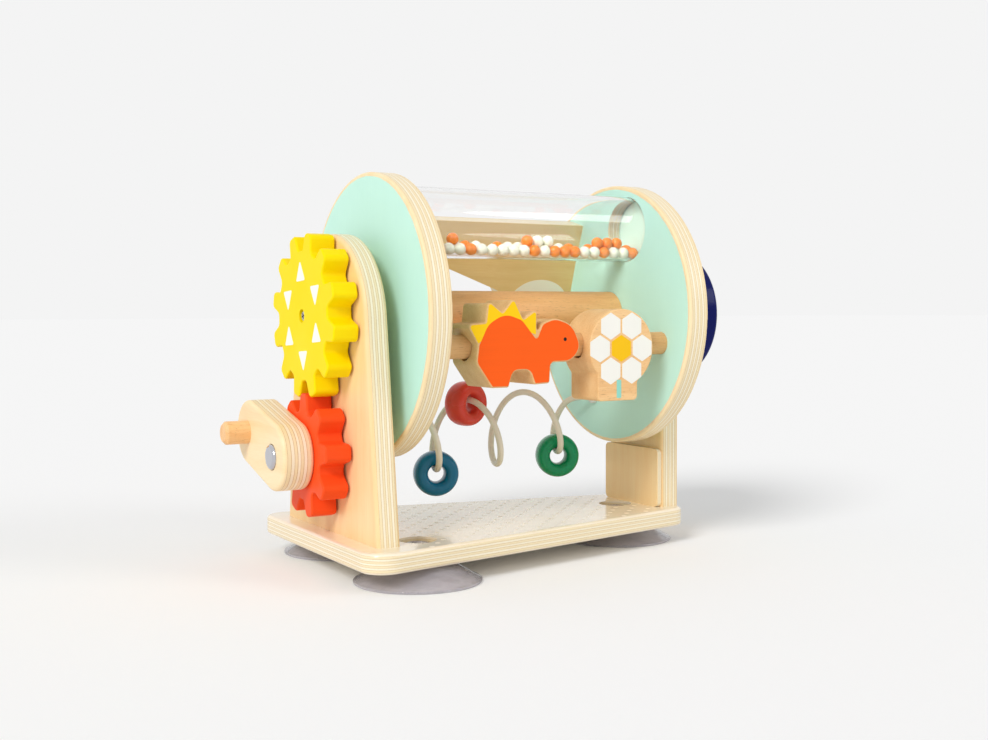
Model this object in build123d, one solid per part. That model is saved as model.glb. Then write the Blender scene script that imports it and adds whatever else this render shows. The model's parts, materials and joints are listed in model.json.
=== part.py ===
from build123d import *
import math
import os

# A wooden activity toy: a drum of two discs turns between two uprights on a base plate with
# suction cups. A hand crank drives it through two outboard gears, and a knob turns it directly.
#
# Sizes are in millimetres. Shapes are drawn in the drum's frame: X along the drum's axle from
# the crank to the knob, -Y to the front, Z up, origin on the axle halfway between the discs.
# write_part() moves them to the toy's frame, whose origin is on the floor under the middle.

# ---- driving dimensions ----
PLY = 12.0                  # plywood of the discs, uprights and back panel
AXLE_HEIGHT = 128.5         # drum axle above the floor
HAIR = 0.05                 # radial gap of glued and pressed fits
RUNNING = 0.06              # radial gap of running fits

DISC_R = 72.7
DISC_GAP = 140.0            # between the inner faces of the discs
DISC_EDGE = 1.2             # rounding of the discs' rims
BEAM_R, BEAM_CHAMFER = 13.0, 0.6
STATION_R = 49.7            # tube, rod, wire and panel sit on this circle, a quarter turn apart
TUBE_ANGLE = 17.9           # from straight up towards the front
POCKET = 8.0                # depth of the blind holes in the discs

BASE_THICK, BASE_EDGE = 10.0, 2.0
BASE_LIFT = 10.0            # underside of the base above the floor
BASE_LEFT_PAST, BASE_RIGHT_PAST = 10.5, 1.0   # past the uprights' outer faces
BASE_LEFT_HALF, BASE_RIGHT_HALF = 75.0, 32.0
BASE_CORNER = 12.0

CUP_R, CUP_RIM, CUP_LIP, CUP_HOLLOW = 31.5, 2.2, 1.4, 4.8
CUP_WAIST_R = 10.5          # top of the bell, under the base
CUP_NECK_R, CUP_HEAD_R, CUP_HEAD_THICK, CUP_HEAD_BRIM = 5.0, 8.4, 4.2, 1.2
CUP_HOLE_GAP = 0.9          # round the mushroom head in its hole
CUP_SEAT = 5.0              # base left under the head
LEFT_CUP_IN, RIGHT_CUP_IN = 14.5, 14.0        # cup centres in from the uprights
LEFT_CUP_Y = 46.0

LEFT_UPRIGHT_GAP, RIGHT_UPRIGHT_GAP = 8.5, 6.0   # between a disc and its upright
ARCH_R, ARCH_DROP = 46.0, 5.0
LEFT_FOOT_HALF = 58.0
LEFT_EDGE, RIGHT_EDGE = 2.5, 2.0
RIGHT_HALF = 25.0
PAD_THICK, PAD_CORNER = 3.0, 3.0
PAD_CLEAR = 3.0             # pad's top below the disc
SCREW_R, SCREW_HEAD_R, SCREW_LENGTH = 2.0, 4.0, 40.0
LEFT_SCREW_Y, RIGHT_SCREW_Y = 36.0, 15.0

AXLE_R = 6.0
AXLE_GRIP = 22.0            # how far each axle is glued into the beam
SPACER_R = 11.0
END_PLAY = 0.3              # between a spacer and its upright
GEAR_THICK = 13.0
GEAR_OFFSET = 1.0           # gears stand this far off the upright
GEAR_EDGE = 1.0             # rounding of the gears' rims
GEAR_PITCH = 69.3           # between the two gear axes
DRUM_TEETH, DRUM_ROOT_R, DRUM_TIP_R, DRUM_PHASE = 12, 32.4, 41.3, 12.0
CRANK_TEETH, CRANK_ROOT_R, CRANK_TIP_R, CRANK_PHASE = 9, 22.3, 31.2, 4.0
TOOTH_BASE, TOOTH_TIP = 11.2, 8.0
TOOTH_TIP_ROUND, TOOTH_ROOT_ROUND = 2.8, 2.6
GEAR_WEB = 4.0              # wood left between the axle's end and the screw's seat
SCREW_SEAT_R, SCREW_SEAT_DEEP = 3.4, 2.6
GEAR_SCREW_R, GEAR_SCREW_HEAD_R, GEAR_SCREW_HEAD, GEAR_SCREW_BITE = 1.75, 2.9, 1.9, 15.0
GEAR_SCREW_DOME = 1.1       # rounding of the screw's head

CRANK_AXLE_R = 4.0
PIN_HEAD_R, PIN_HEAD = 8.0, 2.5
ARM_THICK, ARM_EDGE = 16.0, 2.0
ARM_CLEAR = 0.5             # arm off the drum gear's face
ARM_THROW_Y, ARM_THROW_Z = 35.6, 9.5   # peg from the crank axis
ARM_SHAFT_END_R, ARM_PEG_END_R = 17.0, 16.5
PEG_R, PEG_REACH, PEG_SEAT, PEG_CHAMFER = 6.0, 13.0, 12.0, 1.5
CAP_R, CAP_THICK, CAP_SEAT, CAP_GAP = 6.3, 3.6, 2.4, 0.3
CAP_ROUND = 1.6

KNOB_R, KNOB_THICK, KNOB_CLEAR, KNOB_SEAT = 36.0, 18.0, 2.0, 12.0
KNOB_OUTER_ROUND, KNOB_INNER_ROUND = 2.5, 2.0

TUBE_R, TUBE_WALL = 18.0, 1.5
BALL_R, BALL_GAP = 3.2, 0.3
BALL_APART = 0.07           # between neighbouring balls
BALL_LOWEST = "cocooccocccccocoooccocco"   # orange and cream balls along the tube's floor
BALL_BEHIND = "co-cc-coc-occ-ccco-oo-co"     # the row behind them, with gaps
BALL_ON_TOP = "-oc--o------occ----ooo-"      # those that lie on both rows
ROD_R = 6.0
BLOCK_THICK, BLOCK_EDGE = 25.0, 0.8
BLOCK_HOLE_GAP, BLOCK_HANG = 0.6, 0.5  # the blocks' holes are loose, and they hang on the rod
DINOSAUR_X = -30.0          # the dinosaur's middle
FLOWER_X, FLOWER_R = 35.5, 20.0
FLOWER_RISE = -1.6          # flower's centre over the rod
FLOWER_FOOT_X, FLOWER_FOOT_WIDTH, FLOWER_FOOT_DROP = 33.0, 25.0, 27.4
FLOWER_SOFT = 2.5           # rounding of its feet and necks
PANEL_NEAR = 42.5           # inner face of the back panel from the axle
PANEL_TOP, PANEL_BAR = 41.2, 21.2      # top edge over the axle's level, depth of the bar
PANEL_SLOPE_START, PANEL_SLOPE_END = -32.0, 22.5
PANEL_SLOPE_SOFT = 8.0
LOBE_DROP, LOBE_R = 13.4, 22.5
PIN_R = 3.0

WIRE_R = 1.7
HELIX_R, HELIX_PITCH, HELIX_TURNS = 18.5, 37.5, 3
HELIX_START_X = -53.8
HELIX_Y = 13.5
LOOP_RISE, LOOP_RISE_FROM, LOOP_RISE_OVER = 2.7, 450.0, 270.0   # later turns lie higher
LAST_LOOP_LESS, LAST_LOOP_ON = 2.5, 3.0   # the last turn is smaller and further along
LAST_LOOP_FROM, LAST_LOOP_OVER = 720.0, 180.0
DIRECTION_STEP = 0.5        # degrees each way, for the wire's direction
WIRE_TURN_IN = 55.0         # degrees of helix given up to the bend into each disc
WIRE_STRAIGHT = 3.0         # straight stretch outside each disc
BEAD_R, BEAD_HOLE_R, BEAD_THICK, BEAD_ROUND = 12.25, 4.5, 13.0, 3.4
BEAD_HANG = 2.3             # bead centre below the wire's centre line
BEAD_CLEAR = 10.95          # base to the lowest bead
BEAD_TURNS = {"bead_teal": 180.0, "bead_coral": 360.0, "bead_green": 900.0}

# ---- places worked out from them ----
FLOOR = -AXLE_HEIGHT
BASE_BOTTOM = FLOOR + BASE_LIFT
BASE_TOP = BASE_BOTTOM + BASE_THICK
DISC_IN = DISC_GAP / 2
DISC_OUT = DISC_IN + PLY
LEFT_INNER = -(DISC_OUT + LEFT_UPRIGHT_GAP)
LEFT_UPRIGHT_X = LEFT_INNER - PLY
RIGHT_UPRIGHT_X = DISC_OUT + RIGHT_UPRIGHT_GAP
RIGHT_OUTER = RIGHT_UPRIGHT_X + PLY
BASE_LEFT = LEFT_UPRIGHT_X - BASE_LEFT_PAST
BASE_RIGHT = RIGHT_OUTER + BASE_RIGHT_PAST
LEFT_CUP_X = LEFT_INNER + LEFT_CUP_IN
RIGHT_CUP_X = RIGHT_UPRIGHT_X - RIGHT_CUP_IN
PAD_TOP = -DISC_R - PAD_CLEAR
GEAR_IN = LEFT_UPRIGHT_X - GEAR_OFFSET
GEAR_OUT = GEAR_IN - GEAR_THICK
SCREW_SEAT_X = GEAR_OUT + SCREW_SEAT_DEEP
AXLE_END = SCREW_SEAT_X + GEAR_WEB
ARM_IN = GEAR_OUT - ARM_CLEAR
ARM_OUT = ARM_IN - ARM_THICK
PEG_END = ARM_OUT - PEG_REACH
CAP_IN = ARM_OUT + CAP_SEAT - CAP_GAP
CAP_OUT = CAP_IN - CAP_THICK
CRANK_AXLE_END = CAP_IN - CAP_THICK * 2 / 3
KNOB_IN = RIGHT_OUTER + KNOB_CLEAR
KNOB_OUT = KNOB_IN + KNOB_THICK
SCREW_TOP = BASE_BOTTOM + SCREW_LENGTH
BALL_RUN = 2 * (DISC_IN + POCKET - BALL_R - BALL_GAP)
HELIX_Z = BASE_TOP + BEAD_CLEAR + BEAD_R + BEAD_HANG + HELIX_R
X_SHIFT = -(PEG_END + KNOB_OUT) / 2
ANGLES = {name: TUBE_ANGLE + 90 * k for k, name in enumerate(("tube", "rod", "wire", "panel"))}
CUP_PLACES = ((LEFT_CUP_X, -LEFT_CUP_Y), (LEFT_CUP_X, LEFT_CUP_Y), (RIGHT_CUP_X, 0.0))
SCREW_PLACES = tuple((x, side * spread) for x, spread in
                     ((LEFT_UPRIGHT_X + PLY / 2, LEFT_SCREW_Y), (RIGHT_UPRIGHT_X + PLY / 2, RIGHT_SCREW_Y))
                     for side in (-1, 1))


def station(name):
    """Y and Z of a place on the station circle."""
    angle = math.radians(ANGLES[name])
    return -STATION_R * math.sin(angle), STATION_R * math.cos(angle)


def bar(radius, x0, x1, y=0.0, z=0.0):
    """A round bar along X."""
    return Pos((x0 + x1) / 2, y, z) * Rot(0, 90, 0) * Cylinder(radius, abs(x1 - x0))


def post(radius, z0, z1, x=0.0, y=0.0):
    """A round bar along Z."""
    return Pos(x, y, (z0 + z1) / 2) * Cylinder(radius, abs(z1 - z0))


def side_board(face_2d, x0, x1):
    """A board of a profile drawn in (Y, Z), from x0 to x1."""
    plane = Plane(origin=(x0, 0, 0), x_dir=(0, 1, 0), z_dir=(1, 0, 0))
    return extrude(plane * face_2d, x1 - x0)


def front_board(face_2d, y0, y1):
    """A board of a profile drawn in (X, Z), from the front y0 back to y1."""
    plane = Plane(origin=(0, y0, 0), x_dir=(1, 0, 0), z_dir=(0, -1, 0))
    return extrude(plane * face_2d, y0 - y1)


def rounded_rims(solid, axis, radius):
    """Rounds every edge of the two faces of a board that lie square to an axis."""
    faces = solid.faces().filter_by(axis).sort_by(axis)
    return fillet(faces[0].edges() + faces[-1].edges(), radius)


def disc(inner, outer):
    """A drum disc; inner and outer are the X of its two faces."""
    side = 1 if outer > inner else -1
    floor_x = inner + side * POCKET
    tube_y, tube_z = station("tube")
    rod_y, rod_z = station("rod")
    wire_y, wire_z = station("wire")
    body = rounded_rims(bar(DISC_R, inner, outer), Axis.X, DISC_EDGE)
    body -= bar(AXLE_R + HAIR, inner, outer)
    body -= bar(TUBE_R + HAIR, inner, floor_x, tube_y, tube_z)
    body -= bar(ROD_R + HAIR, inner, floor_x, rod_y, rod_z)
    body -= bar(WIRE_R + HAIR, inner, floor_x, wire_y, wire_z)
    for pin_side, y, z in panel_pin_places():
        if pin_side == side:
            body -= bar(PIN_R + HAIR, inner, floor_x, y, z)
    return body


def center_beam():
    beam = chamfer(bar(BEAM_R, -DISC_IN, DISC_IN).edges(), BEAM_CHAMFER)
    for side in (-1, 1):
        beam -= bar(AXLE_R + HAIR, side * (DISC_IN - AXLE_GRIP), side * DISC_IN)
    return beam


# ---- base, cups and uprights ----
def base_plate():
    outline = Polyline((BASE_LEFT, -BASE_LEFT_HALF), (BASE_RIGHT, -BASE_RIGHT_HALF),
                       (BASE_RIGHT, BASE_RIGHT_HALF), (BASE_LEFT, BASE_LEFT_HALF), close=True)
    sheet = make_face(outline)
    sheet = fillet(sheet.vertices(), BASE_CORNER)
    plate = rounded_rims(extrude(Pos(0, 0, BASE_BOTTOM) * sheet, BASE_THICK), Axis.Z, BASE_EDGE)
    for x, y in CUP_PLACES:
        plate -= post(CUP_HEAD_R + CUP_HOLE_GAP, BASE_BOTTOM + CUP_SEAT, BASE_TOP, x, y)
        plate -= post(CUP_NECK_R + HAIR, BASE_BOTTOM, BASE_TOP, x, y)
    for x, y in SCREW_PLACES:
        plate -= screw_shape(x, y, HAIR)
    return plate


def suction_cup(x, y):
    """A bell, and above it a neck with a mushroom head that holds it in the base's hole."""
    bell_middle = ((CUP_R + CUP_WAIST_R) / 2 - 2.0, (CUP_LIP + BASE_LIFT) / 2 - 0.1)
    with BuildSketch(Plane.XZ) as section:
        with BuildLine():
            rim = Line((0, 0), (CUP_R, 0))
            lip = Line(rim @ 1, (CUP_R, CUP_LIP))
            bell = ThreePointArc(lip @ 1, bell_middle, (CUP_WAIST_R, BASE_LIFT))
            top = Line(bell @ 1, (0, BASE_LIFT))
            Line(top @ 1, rim @ 0)
        make_face()
    cup = revolve(section.sketch, Axis.Z)
    mouth = CUP_R - CUP_RIM
    bowl_r = (mouth ** 2 + CUP_HOLLOW ** 2) / (2 * CUP_HOLLOW)
    cup -= Pos(0, 0, CUP_HOLLOW - bowl_r) * Sphere(bowl_r)
    cup += post(CUP_NECK_R, BASE_LIFT, BASE_LIFT + CUP_SEAT)
    head = post(CUP_HEAD_R, BASE_LIFT + CUP_SEAT, BASE_LIFT + CUP_SEAT + CUP_HEAD_THICK)
    head = fillet(head.edges().filter_by(GeomType.CIRCLE).sort_by(Axis.Z)[-1], CUP_HEAD_THICK - CUP_HEAD_BRIM)
    return Pos(x, y, FLOOR) * (cup + head)


def suction_cups():
    return Compound([suction_cup(x, y) for x, y in CUP_PLACES])


def left_upright():
    """An arched board; its straight edges leave the arch at a tangent and splay to the foot."""
    drop = ARCH_DROP + BASE_TOP
    reach = math.hypot(LEFT_FOOT_HALF, drop)
    lean = math.atan2(-drop, LEFT_FOOT_HALF) - math.acos(ARCH_R / reach)
    touch_y = ARCH_R * math.cos(lean)
    touch_z = -ARCH_DROP + ARCH_R * math.sin(-lean)
    with BuildSketch() as profile:
        with BuildLine():
            foot = Line((-LEFT_FOOT_HALF, BASE_TOP), (LEFT_FOOT_HALF, BASE_TOP))
            front = Line(foot @ 1, (touch_y, touch_z))
            arch = ThreePointArc(front @ 1, (0, ARCH_R - ARCH_DROP), (-touch_y, touch_z))
            Line(arch @ 1, foot @ 0)
        make_face()
    board = side_board(profile.sketch, LEFT_UPRIGHT_X, LEFT_INNER)
    board = soft_edges(board, LEFT_EDGE)
    board -= bar(AXLE_R + RUNNING, LEFT_UPRIGHT_X, LEFT_INNER)
    board -= bar(CRANK_AXLE_R + HAIR, LEFT_UPRIGHT_X, LEFT_INNER, 0, -GEAR_PITCH)
    return pilot_holes(board, -1)


def right_upright():
    profile = Pos(0, BASE_TOP / 2) * Rectangle(2 * RIGHT_HALF, -BASE_TOP) + Circle(RIGHT_HALF)
    board = soft_edges(side_board(profile, RIGHT_UPRIGHT_X, RIGHT_OUTER), RIGHT_EDGE)
    board -= bar(AXLE_R + RUNNING, RIGHT_UPRIGHT_X, RIGHT_OUTER)
    return pilot_holes(board, 1)


def soft_edges(board, radius):
    """Rounds the edges of both faces of an upright, but not those that stand on the base."""
    faces = board.faces().filter_by(Axis.X).sort_by(Axis.X)
    edges = (faces[0].edges() + faces[-1].edges()).filter_by(
        lambda edge: edge.center().Z > BASE_TOP + 1)
    return fillet(edges, radius)


def pilot_holes(board, side):
    for x, y in SCREW_PLACES:
        if x * side > 0:
            board -= post(SCREW_R + HAIR, BASE_TOP, SCREW_TOP, x, y)
    return board


def upright_spacer():
    """A thin pad on the inner face of the knob-side upright, under the disc."""
    height = PAD_TOP - BASE_TOP
    profile = Pos(0, BASE_TOP + height / 2) * RectangleRounded(2 * RIGHT_HALF, height, PAD_CORNER)
    return side_board(profile, RIGHT_UPRIGHT_X - PAD_THICK, RIGHT_UPRIGHT_X)


def screw_shape(x, y, gap=0.0):
    """A countersunk wood screw that comes up through the base, or with a gap its hole."""
    head = Pos(x, y, BASE_BOTTOM + SCREW_HEAD_R / 2) * Cone(SCREW_HEAD_R + gap, SCREW_R + gap, SCREW_HEAD_R)
    return head + post(SCREW_R + gap, BASE_BOTTOM, SCREW_TOP, x, y)


def upright_screws():
    return Compound([screw_shape(x, y) for x, y in SCREW_PLACES])


# ---- axles, gears and crank ----
def gear(teeth, root_r, tip_r, phase, x0, x1, z=0.0):
    """A wooden gear; phase is the first tooth's turn from the top, clockwise from the crank side."""
    corners, roundings = [], []
    for tooth in range(teeth):
        turn = math.radians(phase + 360 / teeth * tooth)
        for half, radius, rounding in ((TOOTH_BASE / 2, root_r, TOOTH_ROOT_ROUND),
                                       (TOOTH_TIP / 2, tip_r, TOOTH_TIP_ROUND),
                                       (-TOOTH_TIP / 2, tip_r, TOOTH_TIP_ROUND),
                                       (-TOOTH_BASE / 2, root_r, TOOTH_ROOT_ROUND)):
            rise = math.sqrt(radius ** 2 - half ** 2)
            corners.append((half * math.cos(turn) - rise * math.sin(turn),
                            half * math.sin(turn) + rise * math.cos(turn)))
            roundings.append(rounding)
    sheet = make_face(FilletPolyline(*corners, radius=roundings, close=True))
    return Pos(0, 0, z) * rounded_rims(side_board(sheet, x0, x1), Axis.X, GEAR_EDGE)


def drum_gear():
    wheel = gear(DRUM_TEETH, DRUM_ROOT_R, DRUM_TIP_R, DRUM_PHASE, GEAR_OUT, GEAR_IN)
    wheel -= bar(AXLE_R + HAIR, AXLE_END, GEAR_IN)
    wheel -= bar(SCREW_SEAT_R, GEAR_OUT, SCREW_SEAT_X)
    return wheel - bar(GEAR_SCREW_R + HAIR, SCREW_SEAT_X, AXLE_END)


def crank_gear():
    wheel = gear(CRANK_TEETH, CRANK_ROOT_R, CRANK_TIP_R, CRANK_PHASE, ARM_IN, GEAR_IN, -GEAR_PITCH)
    return wheel - bar(CRANK_AXLE_R + RUNNING, ARM_IN, GEAR_IN, 0, -GEAR_PITCH)


def crank_arm():
    """A rounded link around the crank axle and the peg."""
    shaft = (0.0, -GEAR_PITCH)
    peg = (ARM_THROW_Y, ARM_THROW_Z - GEAR_PITCH)
    ends = [Pos(*shaft) * Circle(ARM_SHAFT_END_R), Pos(*peg) * Circle(ARM_PEG_END_R)]
    throw = math.hypot(ARM_THROW_Y, ARM_THROW_Z)
    turn = math.degrees(math.atan2(ARM_THROW_Z, ARM_THROW_Y))
    taper = math.asin((ARM_SHAFT_END_R - ARM_PEG_END_R) / throw)
    sides = []
    for radius, along in ((ARM_SHAFT_END_R, 0.0), (ARM_PEG_END_R, throw)):
        sides.append((along + radius * math.sin(taper), radius * math.cos(taper)))
    web = make_face(Polyline(sides[0], sides[1], (sides[1][0], -sides[1][1]),
                             (sides[0][0], -sides[0][1]), close=True))
    profile = ends[0] + ends[1] + Pos(*shaft) * Rot(0, 0, turn) * web
    arm = side_board(profile, ARM_OUT, ARM_IN)
    arm = rounded_rims(arm, Axis.X, ARM_EDGE)
    arm -= bar(CRANK_AXLE_R + RUNNING, ARM_OUT, ARM_IN, *shaft)
    arm -= bar(CAP_R + CAP_GAP, ARM_OUT, ARM_OUT + CAP_SEAT, *shaft)
    return arm - bar(PEG_R + HAIR, ARM_OUT, ARM_OUT + PEG_SEAT, *peg)


def crank_peg():
    peg = bar(PEG_R, PEG_END, ARM_OUT + PEG_SEAT, ARM_THROW_Y, ARM_THROW_Z - GEAR_PITCH)
    return chamfer(outer_rim(peg), PEG_CHAMFER)


def crank_axle():
    """A fixed steel pin through the upright, headed on the inside."""
    pin = bar(CRANK_AXLE_R, CRANK_AXLE_END, LEFT_INNER + PIN_HEAD, 0, -GEAR_PITCH)
    return pin + bar(PIN_HEAD_R, LEFT_INNER, LEFT_INNER + PIN_HEAD, 0, -GEAR_PITCH)


def crank_cap():
    """The push-on cap that keeps the crank on its pin, sunk part way into the arm."""
    cap = bar(CAP_R, CAP_OUT, CAP_IN, 0, -GEAR_PITCH)
    cap = fillet(outer_rim(cap), CAP_ROUND)
    return cap - bar(CRANK_AXLE_R + HAIR, CRANK_AXLE_END, CAP_IN, 0, -GEAR_PITCH)


def outer_rim(solid):
    """The round edge of a turned piece that lies furthest towards the crank."""
    return solid.edges().filter_by(GeomType.CIRCLE).sort_by(Axis.X)[0]


def left_axle():
    axle = bar(AXLE_R, AXLE_END, -DISC_IN + AXLE_GRIP)
    return axle - bar(GEAR_SCREW_R + HAIR, AXLE_END, AXLE_END + GEAR_SCREW_BITE)


def right_axle():
    return bar(AXLE_R, DISC_IN - AXLE_GRIP, KNOB_IN + KNOB_SEAT)


def left_spacer():
    ring = bar(SPACER_R, -DISC_OUT, LEFT_INNER + END_PLAY)
    return ring - bar(AXLE_R + HAIR, -DISC_OUT, LEFT_INNER)


def right_spacer():
    ring = bar(SPACER_R, DISC_OUT, RIGHT_UPRIGHT_X - END_PLAY)
    return ring - bar(AXLE_R + HAIR, DISC_OUT, RIGHT_UPRIGHT_X)


def gear_screw():
    """The screw that holds the drum gear on the axle, its head sunk in the gear's face."""
    head = bar(GEAR_SCREW_HEAD_R, SCREW_SEAT_X - GEAR_SCREW_HEAD, SCREW_SEAT_X)
    head = fillet(outer_rim(head), GEAR_SCREW_DOME)
    return head + bar(GEAR_SCREW_R, SCREW_SEAT_X, AXLE_END + GEAR_SCREW_BITE)


def hand_knob():
    knob = bar(KNOB_R, KNOB_IN, KNOB_OUT)
    rims = knob.edges().filter_by(GeomType.CIRCLE).sort_by(Axis.X)
    knob = fillet(rims[-1], KNOB_OUTER_ROUND)
    knob = fillet(outer_rim(knob), KNOB_INNER_ROUND)
    return knob - bar(AXLE_R + HAIR, KNOB_IN, KNOB_IN + KNOB_SEAT)


# ---- what the drum carries ----
def bead_tube():
    y, z = station("tube")
    end = DISC_IN + POCKET
    return bar(TUBE_R, -end, end, y, z) - bar(TUBE_R - TUBE_WALL, -end, end, y, z)


def ball_places(colour):
    """Centres of the loose balls of one colour: two rows along the tube's floor, and some on top."""
    y, z = station("tube")
    step = 2 * BALL_R + BALL_APART
    count = int(BALL_RUN / step) + 1
    deep = TUBE_R - TUBE_WALL - BALL_R - BALL_GAP
    lean = math.asin(step / 2 / deep)                   # half the angle between the two rows
    climb = step / math.sqrt(2)                         # of a ball that rests on four others
    rows = ((BALL_LOWEST, 0.0, 0.0, deep), (BALL_BEHIND, 2 * lean, 0.0, deep),
            (BALL_ON_TOP, lean, 0.5, deep * math.cos(lean) - climb))
    places = []
    for pattern, angle, shift, radius in rows:
        for n in range(count - math.ceil(shift)):
            if pattern[n % len(pattern)] == colour:
                x = (n + shift - (count - 1) / 2) * step
                places.append((x, y + radius * math.sin(angle), z - radius * math.cos(angle)))
    return places


def tube_balls(colour):
    """The balls of one colour, o for orange or c for cream."""
    return Compound([Pos(*place) * Sphere(BALL_R) for place in ball_places(colour)])


def figure_rod():
    y, z = station("rod")
    end = DISC_IN + POCKET
    return bar(ROD_R, -end, end, y, z)


def figure_block(sheet):
    """A cut-out block, centred on the figure rod and free to spin on it."""
    y, z = station("rod")
    block = front_board(sheet, y - BLOCK_THICK / 2, y + BLOCK_THICK / 2)
    block = rounded_rims(block, Axis.Y, BLOCK_EDGE)
    return block - bar(ROD_R + BLOCK_HOLE_GAP, -DISC_IN, DISC_IN, y, z - BLOCK_HANG)


def dinosaur_block():
    """Each corner is X and Z from the rod and the rounding, from the rear foot round by the head."""
    corners = (
        (-12.0, -20.1, 1.5), (-2.5, -20.1, 1.0), (0.2, -11.9, 4.0), (9.6, -11.9, 4.0),
        (12.4, -19.1, 1.0), (21.4, -18.7, 1.5), (22.0, -8.3, 2.5), (34.6, -8.1, 9.0),
        (40.4, -0.7, 7.0), (35.0, 10.7, 11.0), (24.4, 14.1, 10.0), (17.0, 11.3, 4.0),
        (13.8, 4.7, 1.0), (14.0, 18.7, 1.6), (6.0, 13.5, 0.8), (0.6, 24.2, 1.8),
        (-5.8, 16.7, 0.8), (-14.0, 22.9, 1.8), (-15.4, 11.9, 0.8), (-25.6, 11.1, 1.8),
        (-19.6, 1.1, 1.5), (-20.8, -7.7, 5.0))
    rod_z = station("rod")[1]
    path = FilletPolyline(*[(DINOSAUR_X + x, rod_z + z) for x, z, _ in corners],
                          radius=[rounding for _, _, rounding in corners], close=True)
    return figure_block(make_face(path))


def flower_block():
    """A round head on a square foot, with rounded feet and necks."""
    middle = station("rod")[1] + FLOWER_RISE
    head = Pos(FLOWER_X, middle) * Circle(FLOWER_R)
    foot = Pos(FLOWER_FOOT_X, middle - FLOWER_FOOT_DROP / 2) * Rectangle(FLOWER_FOOT_WIDTH, FLOWER_FOOT_DROP)
    sheet = fillet((head + foot).vertices().group_by(Axis.Y)[0], FLOWER_SOFT)
    necks = sheet.vertices().filter_by(
        lambda v: abs(math.hypot(v.X - FLOWER_X, v.Y - middle) - FLOWER_R) < 0.01 and v.Y < middle)
    return figure_block(fillet(necks, FLOWER_SOFT))


def panel_frame(depth):
    """A plane parallel to the back panel, depth out from the axle; its Y runs up the panel."""
    angle = math.radians(ANGLES["panel"])
    out_y, out_z = -math.sin(angle), math.cos(angle)
    return Plane(origin=(0, depth * out_y, depth * out_z), x_dir=(1, 0, 0), z_dir=(0, -out_y, -out_z))


def back_panel():
    """A board across the back of the drum: a bar on top and a round lobe at the knob end."""
    bar_low = PANEL_TOP - PANEL_BAR
    with BuildSketch() as profile:
        with BuildLine():
            top = Line((-DISC_IN, PANEL_TOP), (DISC_IN, PANEL_TOP))
            edge = Line(top @ 1, (DISC_IN, -LOBE_DROP))
            lobe = ThreePointArc(edge @ 1, (DISC_IN - LOBE_R, -LOBE_DROP - LOBE_R),
                                 (DISC_IN - 2 * LOBE_R, -LOBE_DROP))
            rise = Line(lobe @ 1, (PANEL_SLOPE_END, 0))
            slope = Line(rise @ 1, (PANEL_SLOPE_START, bar_low))
            low = Line(slope @ 1, (-DISC_IN, bar_low))
            Line(low @ 1, top @ 0)
        make_face()
    sheet = profile.sketch
    bends = [v for v in sheet.vertices() if PANEL_SLOPE_START - 1 < v.X < PANEL_SLOPE_END + 1]
    sheet = fillet(bends, PANEL_SLOPE_SOFT)
    board = extrude(panel_frame(PANEL_NEAR + PLY) * sheet, PLY)
    for side, y, z in panel_pin_places():
        board -= bar(PIN_R + HAIR, side * DISC_IN, side * (DISC_IN - POCKET), y, z)
    return board


def panel_pin_places():
    """Side, Y and Z of the dowel pins between the panel's ends and the discs."""
    plane = panel_frame(PANEL_NEAR + PLY / 2)
    places = []
    bar_middle = PANEL_TOP - PANEL_BAR / 2
    for side, height in ((-1, bar_middle), (1, bar_middle), (1, -LOBE_DROP)):
        point = plane.from_local_coords((0, height, 0))
        places.append((side, point.Y, point.Z))
    return places


def panel_pins():
    return Compound([bar(PIN_R, side * (DISC_IN - POCKET), side * (DISC_IN + POCKET), y, z)
                     for side, y, z in panel_pin_places()])


# ---- bead wire ----
def eased(turn, start, over):
    """Goes smoothly from 0 to 1 as the turn passes from start through the given span."""
    share = min(max((turn - start) / over, 0), 1)
    return share * share * (3 - 2 * share)


def helix_point(turn):
    """A point of the wire's centre line; turn is in degrees, 0 at the first crest."""
    angle = math.radians(turn)
    last = eased(turn, LAST_LOOP_FROM, LAST_LOOP_OVER)
    radius = HELIX_R - LAST_LOOP_LESS * last
    rise = LOOP_RISE * eased(turn, LOOP_RISE_FROM, LOOP_RISE_OVER)
    return Vector(HELIX_START_X + HELIX_PITCH * turn / 360 + LAST_LOOP_ON * last,
                  HELIX_Y - radius * math.sin(angle), HELIX_Z + rise + radius * math.cos(angle))


def helix_direction(turn):
    ahead, behind = helix_point(turn + DIRECTION_STEP), helix_point(turn - DIRECTION_STEP)
    return (ahead - behind).normalized()


def biarc(start, start_dir, end, end_dir):
    """Two arcs of equal end distance that join two points along their directions."""
    chord = end - start
    total = start_dir + end_dir
    a = 2 * (start_dir.dot(end_dir) - 1)
    b = -2 * chord.dot(total)
    c = chord.dot(chord)
    reach = (-b - math.sqrt(b * b - 4 * a * c)) / (2 * a)
    near = start + start_dir * reach
    far = end - end_dir * reach
    middle = (near + far) / 2
    middle_dir = (far - near).normalized()
    return [TangentArc(start, middle, tangent=start_dir), TangentArc(middle, end, tangent=middle_dir)]


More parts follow.
